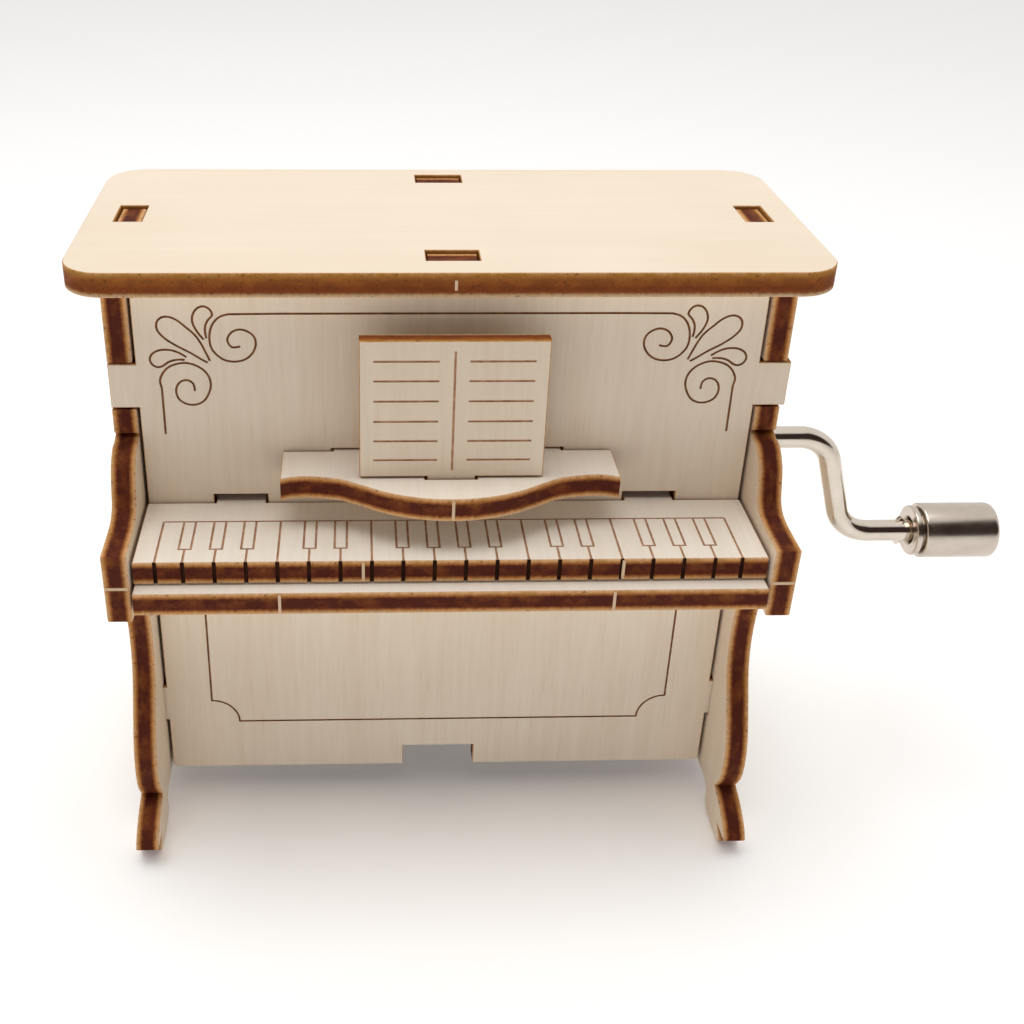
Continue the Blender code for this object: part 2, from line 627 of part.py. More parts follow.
def wheel_ring(z, turn_by):
    points = []
    for tooth in range(WHEEL_TEETH):
        middle = tooth * tooth_turn - math.pi / 2 + turn_by
        for radius, offset in ((root_r, -half_root), (tip_r, -half_tip), (tip_r, half_tip),
                               (root_r, half_root)):
            angle = middle + offset
            points.append((radius * math.cos(angle), radius * math.sin(angle), z))
    return points


wheel_low = CRANK_Z - WHEEL_WIDTH / 2
wheel_high = CRANK_Z + WHEEL_WIDTH / 2
wheel_twist = WHEEL_WIDTH / 2 * math.tan(lean) / WHEEL_PITCH_R
wheel_rings = [wheel_ring(wheel_low, -wheel_twist), wheel_ring(CRANK_Z, 0.0),
               wheel_ring(wheel_high, wheel_twist)]
bore_count = 4 * WHEEL_TEETH
bore_shift = -math.pi / 2 - 1.5 * 2 * math.pi / bore_count
wheel_bores = [ring(SHAFT + 0.3 * MM, z, bore_count, bore_shift) for z in (wheel_low, wheel_high)]
lofted("worm_wheel", wheel_rings, wheel_bores, (0.0, 0.0, 0.0), LEVEL, cylinder, brass)

# Crank: worm sleeve on the spindle, bent wire, and the turning knob
WORM_HALF = 5.8 * MM
THREAD_HALF = 4.9 * MM
WORM_ROWS = 36
WORM_ROUND = 24
worm_root = WORM_PITCH_R - TOOTH_ROOT
worm_tip = WORM_PITCH_R + TOOTH_REACH


def thread_radius(along, angle):
    phase = (along / WORM_LEAD - angle / (2 * math.pi) + 0.5) % 1.0
    offset = abs(phase - 0.5) * WORM_LEAD
    flank = (0.66 * MM - offset) / (0.36 * MM)
    height = min(max(flank, 0.0), 1.0)
    fade = min(max((THREAD_HALF - abs(along)) / (0.8 * MM), 0.0), 1.0)
    return worm_root + (worm_tip - worm_root) * height * fade


worm_rings = []
for row in range(WORM_ROWS + 1):
    along = -WORM_HALF + 2 * WORM_HALF * row / WORM_ROWS
    points = []
    for i in range(WORM_ROUND):
        angle = 2 * math.pi * i / WORM_ROUND
        radius = thread_radius(along, angle + math.pi)
        points.append((along, radius * math.cos(angle), radius * math.sin(angle)))
    worm_rings.append(points)
worm_bores = []
for along in (-WORM_HALF, WORM_HALF):
    bore_r = SPINDLE + 0.3 * MM
    worm_bores.append([(along, bore_r * math.cos(2 * math.pi * i / WORM_ROUND),
                        bore_r * math.sin(2 * math.pi * i / WORM_ROUND))
                       for i in range(WORM_ROUND)])
lofted("worm", worm_rings, worm_bores, (CYLINDER_X, 0.0, 0.0), LEVEL, crank, brass)


def bend_points(x, z, heading_in, heading_out, count=7):
    """Points round a bend of the wire whose straight lengths would meet at x, z."""
    turn_by = heading_out - heading_in
    reach = BEND * math.tan(abs(turn_by) / 2)
    side_sign = 1.0 if turn_by > 0 else -1.0
    start_x = x - reach * math.cos(heading_in)
    start_z = z - reach * math.sin(heading_in)
    middle_x = start_x - side_sign * BEND * math.sin(heading_in)
    middle_z = start_z + side_sign * BEND * math.cos(heading_in)
    points = []
    for i in range(count + 1):
        heading = heading_in + turn_by * i / count
        points.append((middle_x + side_sign * BEND * math.sin(heading),
                       middle_z - side_sign * BEND * math.cos(heading)))
    return points


slope = -math.atan2(CRANK_THROW, LOWER_BEND_X - UPPER_BEND_X)
wire_start = CYLINDER_X - CAGE_OUT - 1.2 * MM
shoulder_x = CYLINDER_X + CAGE_OUT + SEAT
HEAD_START = 74.4 * MM
HEAD_END = 75.5 * MM
STOP_START = 64.2 * MM
STOP_END = 65.3 * MM
step = 0.02 * MM
path = [(wire_start, 0.0, SPINDLE), (shoulder_x, 0.0, SPINDLE), (shoulder_x + step, 0.0, WIRE)]
path += [(x, z, WIRE) for x, z in bend_points(UPPER_BEND_X, 0.0, 0.0, slope)]
path += [(x, z, WIRE) for x, z in bend_points(LOWER_BEND_X, -CRANK_THROW, slope, 0.0)]
path += [(STOP_START, -CRANK_THROW, WIRE), (STOP_START + 0.3 * MM, -CRANK_THROW, 2.1 * MM)]
path += [(STOP_END - 0.3 * MM, -CRANK_THROW, 2.1 * MM), (STOP_END, -CRANK_THROW, WIRE)]
path += [(HEAD_START, -CRANK_THROW, WIRE), (HEAD_START + step, -CRANK_THROW, 2.4 * MM)]
path += [(HEAD_END, -CRANK_THROW, 2.4 * MM)]
wire = bpy.data.curves.new("crank_wire", "CURVE")
wire.dimensions = "3D"
wire.bevel_depth = MM
wire.bevel_resolution = 3
wire.use_fill_caps = True
wire.twist_mode = "MINIMUM"
spline = wire.splines.new("POLY")
spline.points.add(len(path) - 1)
for point, (x, z, radius) in zip(spline.points, path):
    point.co = (x, 0.0, z, 1.0)
    point.radius = radius / MM
spline.use_smooth = True
finish(bpy.data.objects.new("crank_wire", wire), (0.0, 0.0, 0.0), LEVEL, crank, nickel)

bore = WIRE + 0.3 * MM
chamber = 3.2 * MM
chamber_start = HEAD_START - 0.4 * MM
sleeve = [(chamber, KNOB_END)]
sleeve += [(KNOB_R - 0.45 * MM, KNOB_END), (KNOB_R - 0.13 * MM, KNOB_END - 0.13 * MM)]
sleeve += [(KNOB_R, KNOB_END - 0.45 * MM), (KNOB_R, KNOB_START + 1.5 * MM)]
sleeve += [(KNOB_R - 0.3 * MM, KNOB_START + 1.2 * MM), (2.9 * MM, KNOB_START + 1.2 * MM)]
sleeve += [(2.9 * MM, KNOB_START + 0.85 * MM), (3.5 * MM, KNOB_START + 0.85 * MM)]
sleeve += [(3.5 * MM, KNOB_START + 0.25 * MM), (3.25 * MM, KNOB_START)]
sleeve += [(bore, KNOB_START), (bore, chamber_start), (chamber, chamber_start)]
sleeve += [(chamber, KNOB_END)]
turned("knob_sleeve", sleeve, 32, (0.0, 0.0, 0.0), ALONG_X, knob, nickel)
cap_r = chamber - FIT
cap = [(0.0, KNOB_END), (cap_r - 0.2 * MM, KNOB_END), (cap_r, KNOB_END - 0.2 * MM)]
cap += [(cap_r, KNOB_END - 1.6 * MM), (0.0, KNOB_END - 1.6 * MM)]
turned("knob_cap", cap, 32, (0.0, 0.0, 0.0), ALONG_X, knob, nickel)
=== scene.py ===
import math

import bmesh
import bpy
from mathutils import Euler, Matrix, Vector
from mathutils.geometry import tessellate_polygon


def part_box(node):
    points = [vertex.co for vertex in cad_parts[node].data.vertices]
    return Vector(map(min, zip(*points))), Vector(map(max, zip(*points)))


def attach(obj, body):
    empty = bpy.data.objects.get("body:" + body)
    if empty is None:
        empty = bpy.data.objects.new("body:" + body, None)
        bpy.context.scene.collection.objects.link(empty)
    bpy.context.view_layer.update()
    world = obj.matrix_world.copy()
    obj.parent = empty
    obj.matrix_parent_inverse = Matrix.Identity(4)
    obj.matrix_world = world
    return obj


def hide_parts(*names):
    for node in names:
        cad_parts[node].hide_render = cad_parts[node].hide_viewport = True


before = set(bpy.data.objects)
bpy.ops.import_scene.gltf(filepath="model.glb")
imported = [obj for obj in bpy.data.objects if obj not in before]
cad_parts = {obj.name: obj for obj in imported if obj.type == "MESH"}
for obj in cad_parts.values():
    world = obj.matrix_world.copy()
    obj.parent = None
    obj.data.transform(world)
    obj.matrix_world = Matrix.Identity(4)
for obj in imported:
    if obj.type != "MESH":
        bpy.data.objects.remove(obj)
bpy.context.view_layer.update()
print("frame loaded:", len(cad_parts), "nodes")

mm = 0.001
boardLow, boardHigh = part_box("top_board")
midX = (boardLow.x + boardHigh.x) / 2
frontY = boardLow.y


def at(x, y, z):  # millimetres from the middle of the top board's front edge, z from the floor
    return Vector((midX + x * mm, frontY + y * mm, z * mm))


# camera
cameraSet = dict(
    place=(-10.955, -135.2, 133.37),
    turn=(61.955, -0.649, -1.828),
    lens=44.957,
    sensor=36.0,
    near=0.005,
    far=20.0,
    shift=(0.107, -0.0826),
)
cameraData = bpy.data.cameras.new("viewCamera")
cameraData.lens = cameraSet["lens"]
cameraData.sensor_width = cameraSet["sensor"]
cameraData.shift_x, cameraData.shift_y = cameraSet["shift"]
cameraData.clip_start = cameraSet["near"]
cameraData.clip_end = cameraSet["far"]
viewCamera = bpy.data.objects.new("viewCamera", cameraData)
viewCamera.location = at(*cameraSet["place"])
viewCamera.rotation_euler = Euler([math.radians(a) for a in cameraSet["turn"]])
bpy.context.scene.collection.objects.link(viewCamera)
bpy.context.scene.camera = viewCamera


# small helpers for wiring materials
class Shade:  # a socket that can be used in ordinary arithmetic
    def __init__(self, finish, socket):
        self.finish = finish
        self.socket = socket

    def join(self, kind, *others):
        node = self.finish.tree.nodes.new("ShaderNodeMath")
        node.operation = kind
        for slot, other in zip(node.inputs, others):
            if isinstance(other, Shade):
                self.finish.tree.links.new(other.socket, slot)
            else:
                slot.default_value = other
        return Shade(self.finish, node.outputs[0])

    def __add__(self, other):
        return self.join("ADD", self, other)

    def __radd__(self, other):
        return self.join("ADD", other, self)

    def __sub__(self, other):
        return self.join("SUBTRACT", self, other)

    def __rsub__(self, other):
        return self.join("SUBTRACT", other, self)

    def __mul__(self, other):
        return self.join("MULTIPLY", self, other)

    def __rmul__(self, other):
        return self.join("MULTIPLY", other, self)

    def __truediv__(self, other):
        return self.join("DIVIDE", self, other)

    def __pow__(self, other):
        return self.join("POWER", self, other)

    def clamp(self):
        return self.join("MINIMUM", self.join("MAXIMUM", self, 0.0), 1.0)

    def distance(self):
        return self.join("ABSOLUTE", self)

    def band(self, low, high):  # rises from 0 at low to 1 at high
        return ((self - low) / (high - low)).clamp()


class Finish:  # one material and the nodes that make it
    def __init__(self, name, **fixed):
        self.mat = bpy.data.materials.new(name)
        self.mat.use_nodes = True
        self.tree = self.mat.node_tree
        self.shader = self.tree.nodes["Principled BSDF"]
        for socket, value in fixed.items():
            self.shader.inputs[socket.replace("_", " ")].default_value = value
        self.place = self.tree.nodes.new("ShaderNodeTexCoord")

    def node(self, kind, settings, sockets, out=0):
        node = self.tree.nodes.new(kind)
        for key, value in settings.items():
            if key == "stops":
                ramp = node.color_ramp
                while len(ramp.elements) < len(value):
                    ramp.elements.new(0.5)
                for element, (place, tint) in zip(ramp.elements, value):
                    element.position = place
                    element.color = (*tint, 1.0)
            else:
                setattr(node, key, value)
        for key, value in sockets.items():
            slot = self.find(node.inputs, key)
            if isinstance(value, Shade):
                self.tree.links.new(value.socket, slot)
            elif isinstance(value, tuple) and len(value) == 3 and slot.type == "RGBA":
                slot.default_value = (*value, 1.0)
            else:
                slot.default_value = value
        return Shade(self, self.find(node.outputs, out))

    def find(self, sockets, key):
        if isinstance(key, int):
            return sockets[key]
        for socket in sockets:
            if socket.identifier == key:
                return socket
        return sockets[key]

    def coords(self, kind="Object", scale=(1.0, 1.0, 1.0), shift=(0.0, 0.0, 0.0)):
        base = Shade(self, self.place.outputs[kind])
        return self.node("ShaderNodeMapping", {}, {"Vector": base, "Scale": scale,
                                                   "Location": shift})

    def noise(self, vector, scale, detail=3.0, rough=0.5, twist=0.0):
        return self.node("ShaderNodeTexNoise", {}, {"Vector": vector, "Scale": scale,
                                                    "Detail": detail, "Roughness": rough,
                                                    "Distortion": twist})

    def mix(self, amount, first, second, blend="MIX"):
        return self.node("ShaderNodeMix", {"data_type": "RGBA", "blend_type": blend},
                         {"Factor_Float": amount, "A_Color": first, "B_Color": second},
                         "Result_Color")

    def ramp(self, amount, stops):
        return self.node("ShaderNodeValToRGB", {"stops": stops}, {"Fac": amount}, "Color")

    def split(self, vector, part):
        return self.node("ShaderNodeSeparateXYZ", {}, {"Vector": vector}, part)

    def bump(self, height, strength, distance):
        return self.node("ShaderNodeBump", {}, {"Height": height, "Strength": strength,
                                                "Distance": distance}, "Normal")

    def feed(self, **links):
        for name, value in links.items():
            self.tree.links.new(value.socket, self.shader.inputs[name.replace("_", " ")])
        return self.mat


# wood
woodTone = dict(
    pale=(0.84, 0.735, 0.60),
    warm=(0.735, 0.60, 0.455),
    fleck=(0.56, 0.41, 0.28),
    fineScale=1900.0, broadScale=260.0, cloudScale=38.0, dashScale=3300.0,
    streakLength=0.045,
    fineShare=1.0, broadShare=0.85, cloudShare=0.8, base=0.42,
    dashFrom=0.68, dashTo=0.82, dashShare=0.28,
    roughness=0.56, roughRange=0.16, lift=0.35, liftDepth=0.00006,
)


def basswood(name, grain, seed=0.0, tint=None, streak=1.0):
    w = woodTone
    wood = Finish(name, Specular_IOR_Level=0.2)
    squeeze = [1.0, 1.0, 1.0]
    squeeze["XYZ".index(grain)] = w["streakLength"]
    shift = (seed, seed * 0.7, seed * 1.3)
    along = wood.coords(scale=tuple(squeeze), shift=shift)
    fine = wood.noise(along, w["fineScale"], 4.0, 0.6)
    broad = wood.noise(along, w["broadScale"], 3.0, 0.5, 0.4)
    cloud = wood.noise(wood.coords(shift=shift), w["cloudScale"], 2.0, 0.5)
    dash = wood.noise(along, w["dashScale"], 1.0, 0.4)
    mottle = (((fine - 0.5) * w["fineShare"] + (broad - 0.5) * w["broadShare"]) * streak
              + (cloud - 0.5) * w["cloudShare"] + w["base"])
    colour = wood.mix(mottle.clamp(), w["pale"], w["warm"])
    colour = wood.mix(dash.band(w["dashFrom"], w["dashTo"]) * (w["dashShare"] * streak),
                      colour, w["fleck"])
    if tint:
        colour = wood.mix(1.0, colour, tint, "MULTIPLY")
    return wood.feed(Base_Color=colour, Roughness=fine * w["roughRange"] + w["roughness"],
                     Normal=wood.bump(fine + broad * 0.6, w["lift"], w["liftDepth"]))


# places across the sheet, 0 at its face and 1 at its back, with the burn's colour there
charRim, charTan, charSinge = (0.80, 0.50, 0.27), (0.66, 0.34, 0.125), (0.36, 0.12, 0.03)
charCore = (0.092, 0.019, 0.010)
charTone = dict(
    layers=[(0.0, charRim), (0.10, charTan), (0.19, charSinge), (0.27, charCore),
            (0.72, charCore), (0.80, charSinge), (0.89, charTan), (1.0, charRim)],
    toasted=[(0.0, charTan), (0.05, (0.42, 0.20, 0.04)), (0.30, (0.34, 0.115, 0.024)),
             (0.62, (0.24, 0.06, 0.014)), (0.80, (0.24, 0.07, 0.018)),
             (0.86, (0.42, 0.25, 0.12)), (0.93, (0.60, 0.42, 0.27)), (1.0, charRim)],
    spot=(0.085, 0.018, 0.010), soot=(0.035, 0.010, 0.006),
    wobble=0.16, blotchShare=0.5, spotShare=0.55, sootShare=0.6,
    roughness=0.5, roughRange=0.25, lift=0.5, liftDepth=0.00008,
)


def charredEdge(name, toast=0.0):
    # u runs along the cut in centimetres, v crosses the sheet from 0 to 1
    tone = charTone
    edge = Finish(name, Specular_IOR_Level=0.06)
    streaks = edge.noise(edge.coords("UV", scale=(16.0, 1.1, 1.0)), 8.0, 4.0, 0.65)
    blotch = edge.noise(edge.coords("UV", scale=(1.0, 0.4, 1.0)), 3.4, 3.0, 0.6)
    spots = edge.noise(edge.coords("UV", scale=(1.0, 0.3, 1.0)), 15.0, 2.0, 0.5)
    wobble = edge.noise(edge.coords("UV", scale=(4.0, 0.01, 1.0)), 3.0, 4.0, 0.65)
    across = edge.split(edge.coords("UV"), "Y") + (wobble - 0.5) * tone["wobble"]
    layers = edge.ramp(across, tone["layers"])
    toasted = edge.ramp(across, tone["toasted"])
    share = (blotch.band(0.46, 0.64) * tone["blotchShare"] + toast).clamp()
    colour = edge.mix(share, layers, toasted)
    colour = edge.mix(spots.band(0.62, 0.72) * tone["spotShare"], colour, tone["spot"])
    colour = edge.mix(streaks.band(0.46, 0.74) * tone["sootShare"], colour, tone["soot"])
    return edge.feed(Base_Color=colour,
                     Roughness=streaks * tone["roughRange"] + tone["roughness"],
                     Normal=edge.bump(streaks + spots * 0.5, tone["lift"], tone["liftDepth"]))


def burntLine(name, dark, light):
    burn = Finish(name, Specular_IOR_Level=0.05)
    patch = burn.noise(burn.coords(), 900.0, 3.0, 0.6)
    colour = burn.mix(patch.band(0.35, 0.7), dark, light)
    return burn.feed(Base_Color=colour, Roughness=patch * 0.2 + 0.7)


faceUpright = basswood("basswoodUprightGrain", "Z", 0.13)
faceTop = basswood("basswoodTopBoard", "X", 0.37, streak=0.5)
faceKeys = basswood("basswoodKeys", "Y", 0.71, (1.14, 1.22, 1.34), 0.7)
faceSide = basswood("basswoodSides", "Z", 0.53)
faceBook = basswood("basswoodBook", "Z", 0.91, (0.92, 0.90, 0.87), 0.8)
edgeChar = charredEdge("charredEdge")
edgeToast = charredEdge("toastedEdge", 0.72)
engraved = burntLine("engravedLine", (0.17, 0.062, 0.020), (0.32, 0.14, 0.05))
engravedPale = burntLine("engravedPaleLine", (0.40, 0.21, 0.11), (0.60, 0.36, 0.22))
sootyNotch = burntLine("sootyNotch", (0.022, 0.008, 0.005), (0.05, 0.018, 0.010))


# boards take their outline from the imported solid, then get eased rims and engraving
def planeOf(axis, sign):
    normal = Vector((0.0, 0.0, 0.0))
    normal[axis] = sign
    second = Vector((0.0, 1.0, 0.0)) if axis == 2 else Vector((0.0, 0.0, 1.0))
    return second.cross(normal), second, normal


def faceLoops(node, axis, sign):
    low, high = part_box(node)
    level = high[axis] if sign > 0 else low[axis]
    first, second, _ = planeOf(axis, sign)
    bm = bmesh.new()
    bm.from_mesh(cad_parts[node].data)
    bmesh.ops.remove_doubles(bm, verts=bm.verts, dist=0.00001)
    flat = {f for f in bm.faces if all(abs(v.co[axis] - level) < 0.00002 for v in f.verts)}
    ahead = {}
    for face in flat:
        for corner in face.loops:
            if not any(g in flat for g in corner.edge.link_faces if g is not face):
                ahead[corner.vert] = corner.link_loop_next.vert
    loops = []
    while ahead:
        start = min(ahead, key=lambda v: (round(v.co.x, 6), round(v.co.y, 6), round(v.co.z, 6)))
        vert = start
        loop = []
        while vert in ahead:
            loop.append(Vector((vert.co.dot(first), vert.co.dot(second))))
            vert = ahead.pop(vert)
        loops.append(straightened(loop))
    bm.free()
    return loops


def turnAt(loop, i):
    before = loop[i] - loop[i - 1]
    after = loop[(i + 1) % len(loop)] - loop[i]
    return math.degrees(abs(before.angle_signed(after, 0.0)))


def straightened(loop):
    return [p for i, p in enumerate(loop) if turnAt(loop, i) > 0.2]


def curvePoint(p0, p1, p2, p3, t):
    return 0.5 * (2 * p1 + (p2 - p0) * t + (2 * p0 - 5 * p1 + 4 * p2 - p3) * t ** 2
                  + (3 * p1 - p0 - 3 * p2 + p3) * t ** 3)


def rounded(loop, steps=3, longest=0.003):  # smooths the gently turning stretches of an outline
    count = len(loop)
    gentle = [turnAt(loop, i) < 33.0 for i in range(count)]
    made = []
    for i in range(count):
        j = (i + 1) % count
        p1, p2 = loop[i], loop[j]
        span = (p2 - p1).length
        made.append(p1)
        if span > longest or not (gentle[i] or gentle[j]) or span < 0.00015:
            continue
        back = (p1 - loop[i - 1]).normalized() * span if gentle[i] else Vector((0.0, 0.0))
        ahead = Vector((0.0, 0.0))
        if gentle[j]:
            ahead = (loop[(j + 1) % count] - p2).normalized() * span
        for k in range(1, steps):
            made.append(curvePoint(p1 - back, p1, p2, p2 + ahead, k / steps))
    return made


def insetLoop(loop, depth):
    made = []
    for i, point in enumerate(loop):
        before = (point - loop[i - 1]).normalized()
        after = (loop[(i + 1) % len(loop)] - point).normalized()
        n1 = Vector((-before.y, before.x))
        n2 = Vector((-after.y, after.x))
        made.append(point + (n1 + n2) * (depth / max(1.0 + n1.dot(n2), 0.4)))
    return made


def newPiece(name, mesh, materials, smooth=30.0):
    for mat in materials:
        mesh.materials.append(mat)
    obj = bpy.data.objects.new(name, mesh)
    bpy.context.scene.collection.objects.link(obj)
    shadeByAngle(mesh, smooth)
    return obj


def meshFrom(bm, name):
    mesh = bpy.data.meshes.new(name)
    bm.to_mesh(mesh)
    bm.free()
    return mesh


def evaluatedMesh(obj):
    view = bpy.context.evaluated_depsgraph_get()
    return bpy.data.meshes.new_from_object(obj.evaluated_get(view))


def bridge(bm, near, far, steps):  # faces between two rings, either of which may be one point
    for i in range(steps):
        j = (i + 1) % steps
        corners = [near[i % len(near)], near[j % len(near)],
                   far[j % len(far)], far[i % len(far)]]
        kept = [v for k, v in enumerate(corners) if v not in corners[:k]]
        if len(kept) > 2:
            bm.faces.new(kept)


def shadeByAngle(mesh, degrees):
    mesh.polygons.foreach_set("use_smooth", [True] * len(mesh.polygons))
    mesh.set_sharp_from_angle(angle=math.radians(degrees))


def board(name, node, axis, sign, face, edge, line=None, ease=0.11, slotName="plywood"):
    low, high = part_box(node)
    thick = high[axis] - low[axis]
    first, second, normal = planeOf(axis, sign)
    top = high[axis] if sign > 0 else -low[axis]
    loops = [rounded(loop) for loop in faceLoops(node, axis, sign)]
    rim = ease * mm
    bm = bmesh.new()
    layer = bm.loops.layers.uv.new("UVMap")
    rows = [(True, top), (False, top - rim), (False, top - thick + rim), (True, top - thick)]
    rings = []
    for loop in loops:
        inset = insetLoop(loop, rim)
        rings.append([[bm.verts.new(first * p.x + second * p.y + normal * level)
                       for p in (inset if drawnIn else loop)] for drawnIn, level in rows])
    for loop, ring in zip(loops, rings):
        run = 0.0
        for i in range(len(loop)):
            j = (i + 1) % len(loop)
            step = (loop[j] - loop[i]).length
            for k in range(3):
                quad = bm.faces.new((ring[k][i], ring[k + 1][i], ring[k + 1][j], ring[k][j]))
                quad.material_index = 1
                down = [(top - rows[r][1]) / thick for r in (k, k + 1, k + 1, k)]
                for corner, u, v in zip(quad.loops, (run, run, run + step, run + step), down):
                    corner[layer].uv = (u / 0.01, v)
            run += step
    for row, flip in ((0, False), (3, True)):
        flat = [v for ring in rings for v in ring[row]]
        outlines = [[Vector((v.co.dot(first), v.co.dot(second), 0.0)) for v in ring[row]]
                    for ring in rings]
        for tri in tessellate_polygon(outlines):
            a, b, c = (flat[i] for i in tri)
            facing = (b.co - a.co).cross(c.co - a.co).dot(normal) > 0
            if facing == flip:
                b, c = c, b
            patch = bm.faces.new((a, b, c))
            patch.material_index = 0
            for corner in patch.loops:
                corner[layer].uv = (corner.vert.co.dot(first) / 0.01,
                                    corner.vert.co.dot(second) / 0.01)
    mesh = meshFrom(bm, name)
    obj = newPiece(name, mesh, [face, edge, line or engraved, sootyNotch])
    obj["home"] = "cabinet"
    obj["stands"] = node
    obj["finish"] = slotName
    return obj


def settle(obj, body=None, nodes=None):
    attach(obj, body or obj["home"])
    for node in nodes or ([obj["stands"]] if "stands" in obj else []):
        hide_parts(node)
    for key in ("home", "stands", "finish"):
        if key in obj:
            del obj[key]


def flowing(points, spacing=0.35):  # a smooth line through the points, evenly filled
    pts = [Vector(p) for p in points]
    line = []
    for i in range(len(pts) - 1):
        p1, p2 = pts[i], pts[i + 1]
        span = (p2 - p1).length
        p0 = pts[i - 1] if i else p1
        p3 = pts[i + 2] if i + 2 < len(pts) else p2
        p0 = p1 - (p1 - p0).normalized() * span if i else p1
        p3 = p2 + (p3 - p2).normalized() * span if i + 2 < len(pts) else p2
        steps = max(1, int(span / spacing + 0.5))
        line += [curvePoint(p0, p1, p2, p3, k / steps) for k in range(steps)]
    return line + [pts[-1]]


engraveSet = dict(width=0.28, depth=0.12, above=0.05)


def grooveCutter(strokes, axis, sign, level, width=None, depth=None, paint=2):
    # strokes are lines in millimetres on the board's own plane, cut down from the level
    wide = (width or engraveSet["width"]) * mm / 2
    deep = (depth or engraveSet["depth"]) * mm
    first, second, normal = planeOf(axis, sign)
    bm = bmesh.new()
    section = [(1.12 * wide, engraveSet["above"] * mm), (-1.12 * wide, engraveSet["above"] * mm),
               (-0.62 * wide, -deep), (0.62 * wide, -deep)]
    for stroke in strokes:
        points = [Vector(p) * mm for p in stroke]
        closed = (points[0] - points[-1]).length < 0.00001
        if closed:
            points = points[:-1]
        count = len(points)
        rings = []
        for i, point in enumerate(points):
            before = points[i - 1] if (i or closed) else None
            after = points[(i + 1) % count] if (i < count - 1 or closed) else None
            d1 = (after - point if before is None else point - before).normalized()
            d2 = (after - point).normalized() if after is not None else d1
            n1 = Vector((-d1.y, d1.x))
            n2 = Vector((-d2.y, d2.x))
            side = (n1 + n2) / max(1.0 + n1.dot(n2), 0.5)
            rings.append([bm.verts.new(first * (point.x + side.x * a)
                                       + second * (point.y + side.y * a)
                                       + normal * (level + b)) for a, b in section])
        for i in range(count if closed else count - 1):
            j = (i + 1) % count
            for k in range(4):
                m = (k + 1) % 4
                bm.faces.new((rings[i][k], rings[i][m], rings[j][m], rings[j][k]))
        if not closed:
            bm.faces.new(rings[0])
            bm.faces.new(rings[-1][::-1])
    bmesh.ops.recalc_face_normals(bm, faces=bm.faces)
    for quad in bm.faces:
        quad.material_index = paint
    mesh = meshFrom(bm, "engraver")
    return mesh


def cutAway(obj, mesh):
    for mat in obj.data.materials:
        mesh.materials.append(mat)
    tool = bpy.data.objects.new("engraver", mesh)
    bpy.context.scene.collection.objects.link(tool)
    cut = obj.modifiers.new("engrave", "BOOLEAN")
    cut.operation = "DIFFERENCE"
    cut.solver = "EXACT"
    cut.object = tool
    bpy.context.view_layer.update()
    made = evaluatedMesh(obj)
    obj.modifiers.remove(cut)
    old = obj.data
    obj.data = made
    made.name = obj.name
    bpy.data.meshes.remove(old)
    bpy.data.objects.remove(tool)
    bpy.data.meshes.remove(mesh)
    shadeByAngle(made, 30.0)


def shifted(points):  # board to frame millimetres, for upright boards facing forward
    return [(x + midX / mm, z) for x, z in points]


def laid(points):  # the same for level boards
    return [(x + midX / mm, y + frontY / mm) for x, y in points]


# front panel with its engraved corner scrolls, in board millimetres
scrollSet = dict(
    topCurl=[(-25.1, 70.1), (-26.1, 70.0), (-26.6, 70.9), (-26.1, 71.9), (-25.1, 72.3),
             (-24.1, 72.0), (-23.4, 71.3), (-23.25, 70.3), (-23.7, 69.2), (-24.6, 68.4),
             (-25.8, 68.1),
             (-27.0, 68.3), (-27.9, 68.95), (-28.5, 69.8), (-28.7, 70.9), (-28.55, 72.2),
             (-28.1, 73.2), (-27.3, 73.95), (-26.3, 74.25)],
    topLine=74.3,
    sideCurl=[(-30.85, 64.2), (-31.0, 65.2), (-31.6, 65.65), (-32.35, 65.55), (-32.95, 64.9),
              (-33.1, 63.9), (-32.75, 63.0), (-31.95, 62.45), (-30.9, 62.35), (-29.9, 62.8),
              (-29.25, 63.75), (-28.9, 64.85), (-29.0, 65.95), (-29.55, 66.9), (-30.5, 67.6),
              (-31.6, 67.95), (-32.7, 67.85), (-33.8, 67.4), (-34.55, 66.6), (-34.95, 65.6),
              (-34.8, 64.6)],
    sideEnd=(-34.8, 58.3),
    midLeaf=[(-28.6, 67.7), (-29.7, 68.35), (-31.1, 69.3), (-32.8, 70.3), (-34.1, 71.3),
             (-34.8, 72.3), (-34.75, 73.3), (-34.2, 73.85), (-33.4, 73.95), (-32.4, 73.5),
             (-31.4, 72.6), (-30.4, 71.6), (-29.75, 70.5), (-29.2, 69.2), (-28.6, 67.7)],
    highLeaf=[(-28.65, 69.95), (-29.4, 71.0), (-30.2, 72.2), (-30.6, 73.4), (-30.4, 74.4),
              (-29.8, 75.1), (-29.1, 75.25), (-28.5, 74.9), (-28.2, 74.2), (-28.75, 73.5),
              (-29.1, 72.8), (-29.15, 71.8), (-28.95, 70.85), (-28.65, 69.95)],
    lowLeaf=[(-30.8, 68.05), (-31.9, 68.95), (-32.9, 69.5), (-33.9, 69.7), (-35.0, 69.55),
             (-35.75, 69.0), (-35.95, 68.3), (-35.6, 67.65), (-35.0, 67.4), (-34.4, 67.6),
             (-33.8, 68.05), (-32.9, 68.35), (-31.8, 68.35), (-30.8, 68.05)],
    tipGap=0.34,
    frameSide=31.6, frameLow=12.6, frameHigh=38.5, frameCorner=3.7,
)


